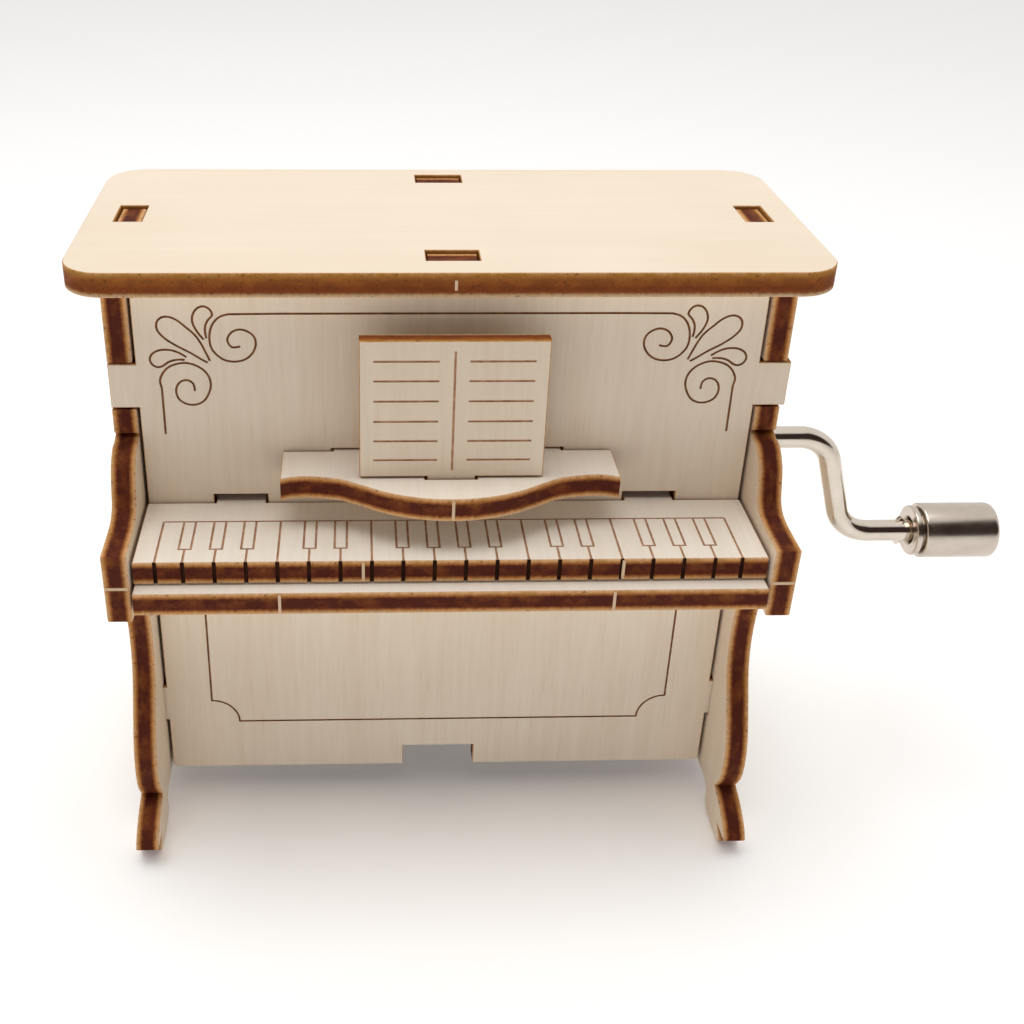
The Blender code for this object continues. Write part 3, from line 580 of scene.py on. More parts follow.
def scrollStrokes(s):
    left = flowing(s["topCurl"])
    right = [Vector((-p.x, p.y)) for p in reversed(left)]
    topStroke = left + [Vector((-20.0, s["topLine"])), Vector((20.0, s["topLine"]))] + right
    side = flowing(s["sideCurl"]) + [Vector(s["sideEnd"])]
    sides = [side, [Vector((-p.x, p.y)) for p in side]]
    groups = [[topStroke], sides]
    for leaf in ("midLeaf", "highLeaf", "lowLeaf"):
        line = flowing(s[leaf])
        while (line[0] - line[-1]).length < s["tipGap"]:
            line = line[1:-1]
        groups.append([line, [Vector((-p.x, p.y)) for p in line]])
    return groups


def frameStroke(s):  # a plain frame with scooped corners
    w, low, high, r = s["frameSide"], s["frameLow"], s["frameHigh"], s["frameCorner"]
    line = []
    for cx, cz, start in ((w, low, 180), (w, high, 270), (-w, high, 0), (-w, low, 90)):
        for k in range(9):
            a = math.radians(start - 90.0 * k / 8)
            line.append((cx + r * math.cos(a), cz + r * math.sin(a)))
    return line + [line[0]]


frontPanel = board("frontPanel", "front_panel", 1, -1, faceUpright, edgeChar)
panelLevel = -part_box("front_panel")[0].y
for group in scrollStrokes(scrollSet):
    strokes = [shifted([(p.x, p.y) for p in stroke]) for stroke in group]
    cutAway(frontPanel, grooveCutter(strokes, 1, -1, panelLevel))
cutAway(frontPanel, grooveCutter([shifted(frameStroke(scrollSet))], 1, -1, panelLevel))
settle(frontPanel)
print("front panel:", len(frontPanel.data.polygons), "faces")

# keyboard with engraved keys
keySet = dict(
    first=-31.9, last=31.35, keys=17, endBlock=3.25,
    topLine=-0.5, blackEnd=-6.65, blackWide=1.45,
    groups=(4, 3, 5, 3, 4), notchWide=0.48, notch=0.22,
)


def keyStrokes(k):
    pitch = (k["last"] - k["first"]) / k["keys"]
    bounds = [k["first"] - k["endBlock"]]
    bounds += [k["first"] + pitch * i for i in range(k["keys"] + 1)]
    bounds += [k["last"] + k["endBlock"]]
    whole = {0, len(bounds) - 1}
    run = 0
    for size in k["groups"]:
        run += size
        whole.add(run)
    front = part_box("keyboard")[0].y / mm - frontY / mm - 0.4
    lines, blacks = [], []
    for i, x in enumerate(bounds):
        if i in whole:
            lines.append([(x, k["topLine"]), (x, front)])
        else:
            half = k["blackWide"] / 2
            lines.append([(x, k["blackEnd"]), (x, front)])
            blacks.append([(x - half, k["topLine"]), (x - half, k["blackEnd"]),
                           (x + half, k["blackEnd"]), (x + half, k["topLine"])])
    top = [[(bounds[0], k["topLine"]), (bounds[-1], k["topLine"])]]
    return lines, blacks, top, bounds


keyBoard = board("keyBoard", "keyboard", 2, 1, faceKeys, edgeChar, engravedPale,
                 slotName="keyboard_plywood")
keyLines, blackKeys, topLine, keyBounds = keyStrokes(keySet)
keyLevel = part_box("keyboard")[1].z
for group in (keyLines, blackKeys, topLine):
    cutAway(keyBoard, grooveCutter([laid(s) for s in group], 2, 1, keyLevel))
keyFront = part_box("keyboard")[0].y
frontMarks = [[(x + midX / mm, keyLevel / mm + 0.2), (x + midX / mm, keyLevel / mm - 3.2)]
              for x in keyBounds]
cutAway(keyBoard, grooveCutter(frontMarks, 1, -1, -keyFront, keySet["notchWide"],
                               keySet["notch"], 3))
settle(keyBoard)
print("keyboard:", len(keyBoard.data.polygons), "faces")

# open music book with ruled staves
bookSet = dict(rows=(71.35, 68.85, 66.25, 63.6, 61.0, 58.45), inner=1.75, outer=9.35,
               foldAt=0.05, fold=(72.6, 57.0), lineWidth=0.28)
musicBook = board("musicBook", "music_book", 1, -1, faceBook, edgeToast, engravedPale)
staves = []
for z in bookSet["rows"]:
    staves.append([(-bookSet["outer"], z), (-bookSet["inner"], z)])
    staves.append([(bookSet["inner"], z), (bookSet["outer"], z)])
staves.append([(bookSet["foldAt"], z) for z in bookSet["fold"]])
bookLevel = -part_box("music_book")[0].y
cutAway(musicBook, grooveCutter([shifted(s) for s in staves], 1, -1, bookLevel,
                                bookSet["lineWidth"]))
settle(musicBook)

# boards without engraving
for name, node, axis, sign, face, edge, slotName in (
        ("topBoard", "top_board", 2, 1, faceTop, edgeToast, "plywood"),
        ("leftSide", "left_side", 0, -1, faceSide, edgeChar, "plywood"),
        ("rightSide", "right_side", 0, 1, faceSide, edgeChar, "plywood"),
        ("backPanel", "back_panel", 1, 1, faceUpright, edgeChar, "plywood"),
        ("keyBed", "key_bed", 2, 1, faceKeys, edgeChar, "plywood"),
        ("musicShelf", "music_shelf", 2, 1, faceKeys, edgeChar, "keyboard_plywood")):
    settle(board(name, node, axis, sign, face, edge, slotName=slotName))
print("boards done")

# metals
def metalFinish(name, tint, shade, rough, grain, grainScale, stretch=(1.0, 1.0, 1.0), dull=0.12,
                lift=0.25):
    metal = Finish(name, Metallic=1.0)
    lines = metal.noise(metal.coords(scale=stretch), grainScale, 3.0, 0.6)
    patches = metal.noise(metal.coords(), 420.0, 3.0, 0.6)
    colour = metal.mix(patches.band(0.3, 0.75), tint, shade)
    shine = patches.band(0.35, 0.75) * dull + lines * (dull * 0.6) + rough
    return metal.feed(Base_Color=colour, Roughness=shine,
                      Normal=metal.bump(lines, lift, grain))


polishedNickel = metalFinish("polishedNickel", (0.70, 0.63, 0.55), (0.63, 0.56, 0.47), 0.08,
                             0.000012, 2600.0, (0.2, 1.0, 1.0), 0.08, 0.15)
turnedNickel = metalFinish("turnedNickel", (0.60, 0.53, 0.46), (0.53, 0.46, 0.39), 0.16,
                           0.00002, 9000.0, (1.0, 0.02, 0.02), 0.10, 0.3)
yellowBrass = metalFinish("yellowBrass", (0.80, 0.58, 0.25), (0.62, 0.40, 0.15), 0.22,
                          0.00002, 5200.0, (1.0, 1.0, 0.08), 0.16)
springSteel = metalFinish("springSteel", (0.52, 0.53, 0.55), (0.42, 0.42, 0.44), 0.22,
                          0.00002, 4200.0, (0.06, 1.0, 1.0), 0.15)
castZinc = metalFinish("castZinc", (0.60, 0.60, 0.58), (0.50, 0.50, 0.48), 0.42,
                       0.00005, 2400.0, (1.0, 1.0, 1.0), 0.16, 0.5)
platedSteel = metalFinish("platedSteel", (0.66, 0.66, 0.63), (0.58, 0.55, 0.47), 0.28,
                          0.00003, 3000.0, (0.1, 1.0, 1.0), 0.16)
blackenedScrew = metalFinish("screwSteel", (0.40, 0.40, 0.41), (0.30, 0.29, 0.28), 0.30,
                             0.00003, 4200.0, (1.0, 1.0, 1.0), 0.15)


# geometry node trees and turned shapes
class Recipe:  # a tree with named inputs for its sizes
    def __init__(self, name, **sizes):
        self.tree = bpy.data.node_groups.new(name, "GeometryNodeTree")
        kinds = {int: "NodeSocketInt", float: "NodeSocketFloat",
                 bpy.types.Material: "NodeSocketMaterial", bpy.types.Object: "NodeSocketObject"}
        panel = self.tree.interface
        panel.new_socket("Geometry", in_out="INPUT", socket_type="NodeSocketGeometry")
        panel.new_socket("Geometry", in_out="OUTPUT", socket_type="NodeSocketGeometry")
        self.sizes = {}
        for label, value in sizes.items():
            socket = panel.new_socket(label, in_out="INPUT", socket_type=kinds[type(value)])
            self.sizes[socket.identifier] = value
        self.start = self.tree.nodes.new("NodeGroupInput")
        self.end = self.tree.nodes.new("NodeGroupOutput")

    def given(self, label):
        return self.start.outputs[label]

    def add(self, kind, settings, sockets, out=0):
        node = self.tree.nodes.new(kind)
        for key, value in settings.items():
            setattr(node, key, value)
        for key, value in sockets.items():
            if isinstance(value, bpy.types.NodeSocket):
                self.tree.links.new(value, node.inputs[key])
            else:
                node.inputs[key].default_value = value
        return node.outputs[out]

    def named(self, label, kind):
        return self.add("GeometryNodeInputNamedAttribute", {"data_type": kind}, {"Name": label})

    def close(self, geometry, material):
        whole = self.add("GeometryNodeRealizeInstances", {}, {"Geometry": geometry})
        painted = self.add("GeometryNodeSetMaterial", {}, {"Geometry": whole,
                                                           "Material": material})
        self.tree.links.new(painted, self.end.inputs[0])

    def pattern(self):
        return self.add("GeometryNodeObjectInfo", {}, {"Object": self.given("pattern")},
                        "Geometry")

    def scatter(self, instance, turned=False, sized=False):  # one on every point
        sockets = {"Points": self.given("Geometry"), "Instance": instance}
        if turned:
            sockets["Rotation"] = self.add("FunctionNodeEulerToRotation", {},
                                           {"Euler": self.named("heading", "FLOAT_VECTOR")})
        if sized:
            sockets["Scale"] = self.named("size", "FLOAT_VECTOR")
        self.close(self.add("GeometryNodeInstanceOnPoints", {}, sockets), self.given("finish"))


def grown(name, points, edges, notes, recipe):
    # notes are the values kept on each point: a number, or three for a turn or a size
    mesh = bpy.data.meshes.new(name)
    mesh.from_pydata(points, edges, [])
    for label, values in notes.items():
        several = hasattr(values[0], "__len__")
        layer = mesh.attributes.new(label, "FLOAT_VECTOR" if several else "FLOAT", "POINT")
        if several:
            layer.data.foreach_set("vector", [n for value in values for n in value])
        else:
            layer.data.foreach_set("value", values)
    obj = bpy.data.objects.new(name, mesh)
    bpy.context.scene.collection.objects.link(obj)
    growth = obj.modifiers.new("growth", "NODES")
    growth.node_group = recipe.tree
    for identifier, value in recipe.sizes.items():
        growth[identifier] = value
    bpy.context.view_layer.update()
    made = evaluatedMesh(obj)
    obj.modifiers.remove(growth)
    obj.data = made
    bpy.data.meshes.remove(mesh)
    made.name = name
    shadeByAngle(made, 35.0)
    return obj


def joined(obj, *others):  # adds other objects' meshes to the first
    bm = bmesh.new()
    bm.from_mesh(obj.data)
    for other in others:
        bm.from_mesh(other.data)
        mesh = other.data
        bpy.data.objects.remove(other)
        bpy.data.meshes.remove(mesh)
    bm.to_mesh(obj.data)
    bm.free()
    shadeByAngle(obj.data, 35.0)
    return obj


def lathe(name, profile, centre, axis, steps, mat, angle=35.0):
    # the profile is (distance along the axis, radius) in millimetres, round to its start if closed
    turn = Vector(axis).normalized().to_track_quat("X", "Z").to_matrix()
    bm = bmesh.new()
    rings = []
    for along, radius in profile:
        if radius < 0.0001:
            rings.append([bm.verts.new(centre + turn @ Vector((along * mm, 0.0, 0.0)))])
            continue
        rings.append([bm.verts.new(centre + turn @ Vector((
            along * mm, radius * mm * math.cos(2 * math.pi * i / steps),
            radius * mm * math.sin(2 * math.pi * i / steps)))) for i in range(steps)])
    for near, far in zip(rings, rings[1:]):
        bridge(bm, near, far, steps)
    bmesh.ops.remove_doubles(bm, verts=bm.verts, dist=0.0000005)
    bmesh.ops.recalc_face_normals(bm, faces=bm.faces)
    mesh = meshFrom(bm, name)
    return newPiece(name, mesh, [mat], angle)


def easedCorner(x, r, turnX, turnR, size, steps=4):  # quarter round that fills a corner at x, r
    made = []
    for k in range(steps + 1):
        a = math.pi / 2 * k / steps
        made.append((x + turnX * size * (1 - math.sin(a)), r + turnR * size * (1 - math.cos(a))))
    return made


# crank rod, a bent wire with pinched ears that keep the knob from sliding inward
crankSet = dict(
    axisY=14.6, axisZ=51.75, throw=15.0, wire=1.5, spindle=1.0, bend=5.0,
    upperBend=52.0, lowerBend=56.4, start=-2.75, shoulder=13.85,
    earFrom=64.12, earTo=65.28, ear=2.15, earWide=0.62, slit=0.16,
    earRoot=0.35, slitDeep=0.42, slitLeast=0.05, earRows=8,
    headFrom=74.4, headTo=75.5, head=2.4, roundSteps=40, bendSteps=16,
)


def bendPoints(c, x, z, headingIn, headingOut):
    change = headingOut - headingIn
    reach = c["bend"] * math.tan(abs(change) / 2)
    side = 1.0 if change > 0 else -1.0
    midXx = x - reach * math.cos(headingIn) - side * c["bend"] * math.sin(headingIn)
    midZz = z - reach * math.sin(headingIn) + side * c["bend"] * math.cos(headingIn)
    made = []
    for i in range(c["bendSteps"] + 1):
        heading = headingIn + change * i / c["bendSteps"]
        made.append((midXx + side * c["bend"] * math.sin(heading),
                     midZz - side * c["bend"] * math.cos(heading), c["wire"]))
    return made


def rodPath(c):
    low = -c["throw"]
    slope = -math.atan2(c["throw"], c["lowerBend"] - c["upperBend"])
    path = [(c["start"], 0.0, 0.02), (c["start"] + 0.02, 0.0, c["spindle"] - 0.15),
            (c["start"] + 0.2, 0.0, c["spindle"]), (c["shoulder"], 0.0, c["spindle"]),
            (c["shoulder"] + 0.02, 0.0, c["wire"] - 0.12), (c["shoulder"] + 0.14, 0.0, c["wire"]),
            (30.0, 0.0, c["wire"])]
    path += bendPoints(c, c["upperBend"], 0.0, 0.0, slope)
    path += bendPoints(c, c["lowerBend"], low, slope, 0.0)
    path += [(c["headFrom"], low, c["wire"]), (c["headFrom"] + 0.02, low, c["head"] - 0.1),
             (c["headFrom"] + 0.12, low, c["head"]), (c["headTo"] - 0.3, low, c["head"]),
             (c["headTo"] - 0.1, low, c["head"] * 0.85), (c["headTo"], low, c["head"] * 0.6),
             (c["headTo"] + 0.01, low, 0.02)]
    return path


rodRecipe = Recipe("rodAlongPath", roundSteps=crankSet["roundSteps"], unitRadius=1.0,
                   finish=polishedNickel)
rodCurve = rodRecipe.add("GeometryNodeMeshToCurve", {}, {"Mesh": rodRecipe.given("Geometry")})
rodCircle = rodRecipe.add("GeometryNodeCurvePrimitiveCircle", {}, {
    "Resolution": rodRecipe.given("roundSteps"), "Radius": rodRecipe.given("unitRadius")})
rodTube = rodRecipe.add("GeometryNodeCurveToMesh", {}, {
    "Curve": rodCurve, "Profile Curve": rodCircle, "Scale": rodRecipe.named("thickness", "FLOAT"),
    "Fill Caps": True})
rodRecipe.close(rodTube, rodRecipe.given("finish"))
path = rodPath(crankSet)
rodPoints = [at(x, crankSet["axisY"], crankSet["axisZ"] + z) for x, z, _ in path]
crankRod = grown("crankRod", rodPoints, [(i, i + 1) for i in range(len(path) - 1)],
                 {"thickness": [r * mm for _, _, r in path]}, rodRecipe)


def pinchedEar(c, up):  # a flattened lobe on one side of the wire, split by a slit
    length = c["earTo"] - c["earFrom"]
    bm = bmesh.new()
    rows = []
    for k in range(c["earRows"] + 1):
        t = k / c["earRows"]
        swell = math.sin(math.pi * t) ** 0.45 if 0 < t < 1 else 0.0
        tall = c["wire"] - c["earRoot"] + (c["ear"] - c["wire"] + c["earRoot"]) * swell
        dip = tall - c["slitDeep"] * swell - c["slitLeast"]
        wide = c["earWide"] * (0.75 + 0.25 * swell)
        x = c["earFrom"] + length * t
        ring = []
        for y, z in ((wide, 0.2), (wide, tall * 0.86), (wide * 0.62, tall), (c["slit"], tall),
                     (c["slit"] * 0.5, dip), (-c["slit"] * 0.5, dip),
                     (-c["slit"], tall), (-wide * 0.62, tall), (-wide, tall * 0.86), (-wide, 0.2)):
            ring.append(bm.verts.new(at(x, c["axisY"] + y, c["axisZ"] - c["throw"] + up * z)))
        rows.append(ring)
    for near, far in zip(rows, rows[1:]):
        for i in range(len(near)):
            j = (i + 1) % len(near)
            bm.faces.new((near[i], near[j], far[j], far[i]))
    bm.faces.new(rows[0])
    bm.faces.new(rows[-1][::-1])
    bmesh.ops.recalc_face_normals(bm, faces=bm.faces)
    mesh = meshFrom(bm, "ear")
    return newPiece("ear", mesh, [polishedNickel])


joined(crankRod, pinchedEar(crankSet, 1), pinchedEar(crankSet, -1))
settle(crankRod, "crank", ["crank_wire"])

# turning knob
knobSet = dict(start=66.1, end=77.6, collar=3.5, groove=2.85, body=3.85, bore=1.8, mouth=1.98,
               chamber=3.2, chamberAt=74.0, steps=72, cap=2.95, collarEase=0.25,
               collarLong=0.84, collarBevel=0.12, bodyAt=1.2, lip=0.02, mouthDeep=0.45,
               bodyEase=0.3, endLong=0.7, endDrop=0.55, capDeep=1.6)


def knobProfile(k):
    x0, x1 = k["start"], k["end"]
    collarEnd, bodyStart = x0 + k["collarLong"], x0 + k["bodyAt"]
    outline = [(x0 + k["mouthDeep"], k["bore"]), (x0 + 0.12, k["mouth"]), (x0, k["mouth"] + 0.1)]
    outline += easedCorner(x0, k["collar"], 1, -1, k["collarEase"])[::-1]
    outline += [(collarEnd - k["collarBevel"], k["collar"]),
                (collarEnd, k["collar"] - k["collarBevel"]),
                (collarEnd + k["lip"], k["groove"]), (bodyStart - k["lip"], k["groove"]),
                (bodyStart, k["body"] - 0.34)]
    for t in range(1, 5):
        a = math.pi / 2 * t / 4
        outline.append((bodyStart + k["bodyEase"] * (1 - math.cos(a)),
                        k["body"] - k["bodyEase"] + k["bodyEase"] * math.sin(a)))
    outline.append((x1 - k["endLong"], k["body"]))
    for t in range(1, 7):
        a = math.pi / 2 * t / 6
        outline.append((x1 - k["endLong"] + k["endLong"] * math.sin(a),
                        k["body"] - k["endDrop"] * (1 - math.cos(a))))
    outline += [(x1, k["chamber"] + k["lip"]), (x1 - 0.1, k["chamber"]),
                (k["chamberAt"], k["chamber"]), (k["chamberAt"], k["bore"]),
                (x0 + k["mouthDeep"], k["bore"])]
    return outline


def capProfile(k):
    end = k["end"]
    return [(end - 0.12, 0.0), (end - 0.12, 1.3), (end - 0.04, 1.5), (end - 0.01, 2.3),
            (end - 0.05, k["cap"] - 0.18), (end - 0.22, k["cap"]), (end - k["capDeep"], k["cap"]),
            (end - k["capDeep"], 0.0)]


knobCentre = at(0.0, crankSet["axisY"], crankSet["axisZ"] - crankSet["throw"])
alongX = (1.0, 0.0, 0.0)
knobBody = lathe("knobBody", knobProfile(knobSet), knobCentre, alongX, knobSet["steps"],
                 turnedNickel)
settle(knobBody, "knob", ["knob_sleeve"])
knobEnd = lathe("knobEnd", capProfile(knobSet), knobCentre, alongX, knobSet["steps"],
                turnedNickel)
settle(knobEnd, "knob", ["knob_cap"])
print("crank and knob done")

# screws
screwSet = dict(headSteps=28, crossLong=0.62, crossWide=0.15, crossDeep=0.55)


def screwPattern(s):
    # a cross recess pan head of radius 1 and height 1 on a shank of length 1, along z
    steps = s["headSteps"]
    bm = bmesh.new()
    profile = [(0.0, 1.0), (0.35, 0.985), (0.68, 0.90), (0.88, 0.70), (0.985, 0.42), (1.0, 0.2),
               (0.99, 0.0), (0.46, 0.0)]
    rings = []
    for r, z in profile:
        rings.append([bm.verts.new((r * math.cos(2 * math.pi * i / steps),
                                    r * math.sin(2 * math.pi * i / steps), z))
                      for i in range(steps)] if r else [bm.verts.new((0.0, 0.0, z))])
    for k in range(1, 5):  # the thread, as a few rings on the shank
        for r, z in ((0.44, -0.2 * k + 0.1), (0.36, -0.2 * k + 0.02)):
            rings.append([bm.verts.new((r * math.cos(2 * math.pi * i / steps),
                                        r * math.sin(2 * math.pi * i / steps), z))
                          for i in range(steps)])
    rings.append([bm.verts.new((0.0, 0.0, -1.0))])
    for near, far in zip(rings, rings[1:]):
        bridge(bm, near, far, steps)
    bmesh.ops.recalc_face_normals(bm, faces=bm.faces)
    mesh = meshFrom(bm, "screwPattern")
    pattern = newPiece("screwPattern", mesh, [blackenedScrew])
    for turn in (0.0, math.pi / 2):
        cross = bmesh.new()
        long, wide, deep = s["crossLong"], s["crossWide"], s["crossDeep"]
        bmesh.ops.create_cube(cross, size=1.0, matrix=Matrix.Rotation(turn, 4, "Z")
                              @ Matrix.Translation((0.0, 0.0, 1.3 - deep / 2))
                              @ Matrix.Diagonal((long, wide, deep + 0.6, 1.0)))
        cutAway(pattern, meshFrom(cross, "cross"))
    return pattern


facingBack = (-math.pi / 2, 0.0, 0.0)
facingFront = (math.pi / 2, 0.0, 0.0)
screws = []
for number in (1, 2, 3, 4):
    screws.append((f"mount_screw_{number}", facingBack, 1.2))
for number in (1, 2, 3):
    screws.append((f"comb_screw_{number}", facingFront, 1.3))
for node in ("cage_screw_1", "cage_screw_2", "top_bearing_screw", "low_bearing_screw"):
    screws.append((node, facingFront, 1.1))


def screwSeat(node, heading, tall):
    low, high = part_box(node)
    middle = (low + high) / 2
    seat = high.y - tall * mm if heading is facingBack else low.y + tall * mm
    radius = (high.x - low.x) / 2
    return Vector((middle.x, seat, middle.z)), heading, (radius, radius, tall * mm)


pattern = screwPattern(screwSet)
screwRecipe = Recipe("screwsAtHoles", pattern=pattern, finish=blackenedScrew)
screwRecipe.scatter(screwRecipe.pattern(), turned=True, sized=True)
seats = [screwSeat(*screw) for screw in screws]
caseScrews = grown("caseScrews", [seat[0] for seat in seats], [],
                   {"heading": [seat[1] for seat in seats],
                    "size": [seat[2] for seat in seats]}, screwRecipe)
settle(caseScrews, "cabinet", [screw[0] for screw in screws])
bpy.data.objects.remove(pattern)
print("screws done")

# pale stubs where the parts were snapped out of their sheet
stubSet = dict(wide=0.36, proud=0.10, topShare=0.4, share=0.86,
               armX=39.6, armY=-10.6, armZ=45.6, armLong=2.75)
stubWood = Finish("snappedFibre", Specular_IOR_Level=0.2, Roughness=0.8)
stubGrain = stubWood.noise(stubWood.coords(scale=(1.0, 1.0, 0.2)), 5000.0, 3.0)
stubWood.feed(Base_Color=stubWood.mix(stubGrain, (0.62, 0.42, 0.25), (0.80, 0.60, 0.42)),
              Normal=stubWood.bump(stubGrain, 0.6, 0.0001))


def stubPattern():  # a small torn block, one unit each way, centred on the origin
    bm = bmesh.new()
    bmesh.ops.create_cube(bm, size=1.0)
    bmesh.ops.bevel(bm, geom=list(bm.edges), offset=0.14, segments=2, profile=0.6, affect="EDGES")
    for vert in bm.verts:
        if vert.co.y < -0.3:
            vert.co.y += 0.16 * math.sin(9.0 * vert.co.z) * math.cos(7.0 * vert.co.x)
    mesh = meshFrom(bm, "stubPattern")
    return newPiece("stubPattern", mesh, [stubWood.mat])


def boardFront(node):
    low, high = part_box(node)
    return low.y / mm - frontY / mm, (low.z + high.z) / 2 / mm, (high.z - low.z) / mm


stubs = []
for node, spots in (("top_board", (0.1,)), ("music_shelf", (0.0,)),
                    ("keyboard", (-10.6, 20.4)), ("key_bed", (-20.5, 19.3))):
    y, z, tall = boardFront(node)
    share = stubSet["topShare"] if node == "top_board" else stubSet["share"]
    stubs += [(x, y, z, stubSet["wide"], tall * share) for x in spots]
pattern = stubPattern()
stubRecipe = Recipe("stubsOnEdges", pattern=pattern, finish=stubWood.mat)
stubRecipe.scatter(stubRecipe.pattern(), sized=True)
stubPoints = [at(x, y, z) for x, y, z, _, _ in stubs]
stubSizes = [(wide * mm, 2 * stubSet["proud"] * mm, tall * mm) for _, _, _, wide, tall in stubs]
for side in (-1, 1):  # one across each arm's front
    stubPoints.append(at(side * stubSet["armX"], stubSet["armY"], stubSet["armZ"]))
    stubSizes.append((stubSet["armLong"] * mm, 2 * stubSet["proud"] * mm,
                      stubSet["wide"] * mm))
snapStubs = grown("snapStubs", stubPoints, [], {"size": stubSizes}, stubRecipe)
settle(snapStubs, "cabinet", [])
bpy.data.objects.remove(pattern)

# music movement
for name, node, axis, sign, finish, slotName, ease in (
        ("castPlate", "bedplate", 1, -1, castZinc, "zinc_casting", 0.25),
        ("combFoot", "comb_rest", 1, -1, castZinc, "zinc_casting", 0.2),
        ("toneComb", "comb", 1, -1, springSteel, "comb_steel", 0.06)):
    settle(board(name, node, axis, sign, finish, finish, slotName=slotName, ease=ease))

barrelSet = dict(x=6.0, y=23.0, low=20.5, high=46.9, radius=6.5, bore=1.9, notes=18, steps=36,
                 pinTall=0.58, pinRound=0.16, pinTip=0.10, pinRooted=0.05, pinsEach=9,
                 ringIn=5.2, ringOut=6.15, ringDeep=0.5, sides=64)


def pinSpots(b):
    track = (b["high"] - b["low"]) / b["notes"]
    points, headings = [], []
    for note in range(b["notes"]):
        z = b["low"] + (note + 0.5) * track
        for beat in range(b["pinsEach"]):
            step = (7 * note + 4 * beat + (note * beat) % 5) % b["steps"]
            if (step + note) % 4 == 3:
                continue
            a = 2 * math.pi * (step + 0.5) / b["steps"]
            root = b["radius"] - b["pinRooted"]
            points.append(at(b["x"] + root * math.cos(a), b["y"] + root * math.sin(a), z))
            headings.append((0.0, math.pi / 2, a))
    return points, headings


pinRecipe = Recipe("pinsOnBarrel", pinRound=barrelSet["pinRound"] * mm,
                   pinTall=(barrelSet["pinTall"] + barrelSet["pinRooted"]) * mm, sides=6,
                   finish=springSteel)
pinCone = pinRecipe.add("GeometryNodeMeshCone", {"fill_type": "NGON"}, {
    "Vertices": pinRecipe.given("sides"), "Radius Bottom": pinRecipe.given("pinRound"),
    "Radius Top": barrelSet["pinTip"] * mm, "Depth": pinRecipe.given("pinTall")})
pinRecipe.scatter(pinCone, turned=True)
pinPoints, pinHeadings = pinSpots(barrelSet)


def barrelProfile(b):  # a tube with a ring shaped recess in each end
    low, high, deep, tube = b["low"], b["high"], b["ringDeep"], b["radius"]
    within, outer = b["ringIn"], b["ringOut"]
    outerRim = outer + 0.15
    return [(low, b["bore"]), (low, within), (low + deep, within + 0.15),
            (low + deep, outer - 0.15), (low, outer), (low, outerRim), (low + 0.2, tube), (high - 0.2, tube),
            (high, outerRim), (high, outer), (high - deep, outer - 0.15),
            (high - deep, within + 0.15), (high, within), (high, b["bore"]), (low, b["bore"])]


barrelCentre = at(barrelSet["x"], barrelSet["y"], 0.0)
pinnedBarrel = lathe("pinnedBarrel", barrelProfile(barrelSet), barrelCentre, (0.0, 0.0, 1.0),
                     barrelSet["sides"], yellowBrass)
barrelPins = grown("barrelPins", pinPoints, [], {"heading": pinHeadings}, pinRecipe)
settle(pinnedBarrel, "cylinder", ["music_cylinder"])
settle(barrelPins, "cylinder", [])

for node, mat in (("worm", yellowBrass), ("worm_wheel", yellowBrass),
                  ("cylinder_shaft", springSteel), ("worm_cage", platedSteel),
                  ("top_bearing", platedSteel), ("low_bearing", platedSteel)):
    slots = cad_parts[node].material_slots
    for slot in slots:
        slot.material = mat
    if not slots:
        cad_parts[node].data.materials.append(mat)
print("movement done")

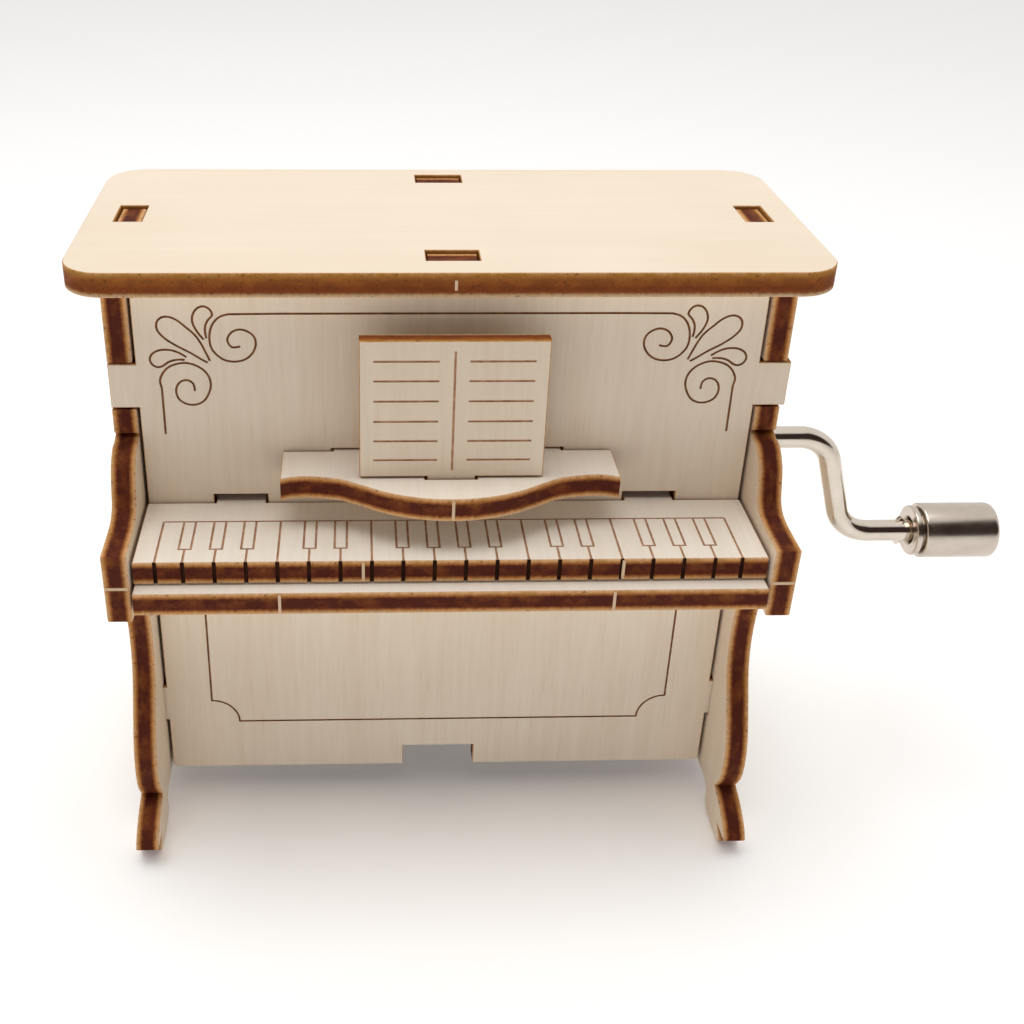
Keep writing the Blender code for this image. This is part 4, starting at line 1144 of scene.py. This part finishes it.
# floor, lights and surroundings
floorData = bpy.data.meshes.new("floor")
floorSet = dict(reach=3.0, level=-0.0002, low=(0.955, 0.955, 0.955), high=(0.965, 0.965, 0.965))
floorCorners = [(x * floorSet["reach"], y * floorSet["reach"], floorSet["level"])
                for x, y in ((-1, -1), (1, -1), (1, 1), (-1, 1))]
floorData.from_pydata(floorCorners, [], [(0, 1, 2, 3)])
floor = bpy.data.objects.new("floor", floorData)
bpy.context.scene.collection.objects.link(floor)
paper = Finish("palePaper", Roughness=0.9, Specular_IOR_Level=0.1,
               Emission_Color=(1.0, 1.0, 1.0, 1.0), Emission_Strength=0.14)
paperTint = paper.noise(paper.coords(), 6.0, 2.0)
floorData.materials.append(
    paper.feed(Base_Color=paper.mix(paperTint, floorSet["low"], floorSet["high"])))

lightSet = (
    dict(name="overhead", place=(-40.0, 20.0, 520.0), aim=(0.0, 15.0, 40.0),
         size=0.42, power=1.20, mirrored=True),
    dict(name="frontFill", place=(-120.0, -430.0, 150.0), aim=(0.0, 0.0, 40.0),
         size=0.4, power=0.28, mirrored=False),
)
for lamp in lightSet:
    data = bpy.data.lights.new(lamp["name"], "AREA")
    data.shape = "DISK"
    data.size = lamp["size"]
    data.energy = lamp["power"]
    light = bpy.data.objects.new(lamp["name"], data)
    light.location = at(*lamp["place"])
    light.rotation_euler = (at(*lamp["aim"]) - light.location).to_track_quat("-Z", "Y").to_euler()
    light.visible_glossy = lamp["mirrored"]
    bpy.context.scene.collection.objects.link(light)

# a bright room with a darker side in front of the model, which the polished wire mirrors
roomSet = dict(strength=0.92, bright=(1.0, 0.985, 0.965), dim=(0.045, 0.030, 0.026),
               dimLow=0.12, dimHigh=0.90, fadeUp=0.10, sideStart=0.10, sideFull=0.32)


class Room(Finish):  # the world's tree, wired the same way as a material
    def __init__(self, world):
        world.use_nodes = True
        self.tree = world.node_tree
        self.shader = self.tree.nodes["Background"]
        self.place = self.tree.nodes.new("ShaderNodeTexCoord")


world = bpy.data.worlds.new("studio")
room = Room(world)
ray = room.coords("Generated")
rise = room.split(ray, "Z")
toFront = 0.0 - room.split(ray, "Y")
dimmed = (rise.band(roomSet["dimLow"] - 0.08, roomSet["dimLow"])
          * (1.0 - rise.band(roomSet["dimHigh"] - roomSet["fadeUp"], roomSet["dimHigh"]))
          * toFront.band(roomSet["sideStart"], roomSet["sideFull"]))
room.feed_world = room.mix(dimmed, roomSet["bright"], roomSet["dim"])
room.tree.links.new(room.feed_world.socket, room.shader.inputs["Color"])
room.shader.inputs["Strength"].default_value = roomSet["strength"]
bpy.context.scene.world = world
bpy.context.scene.view_settings.view_transform = "Standard"
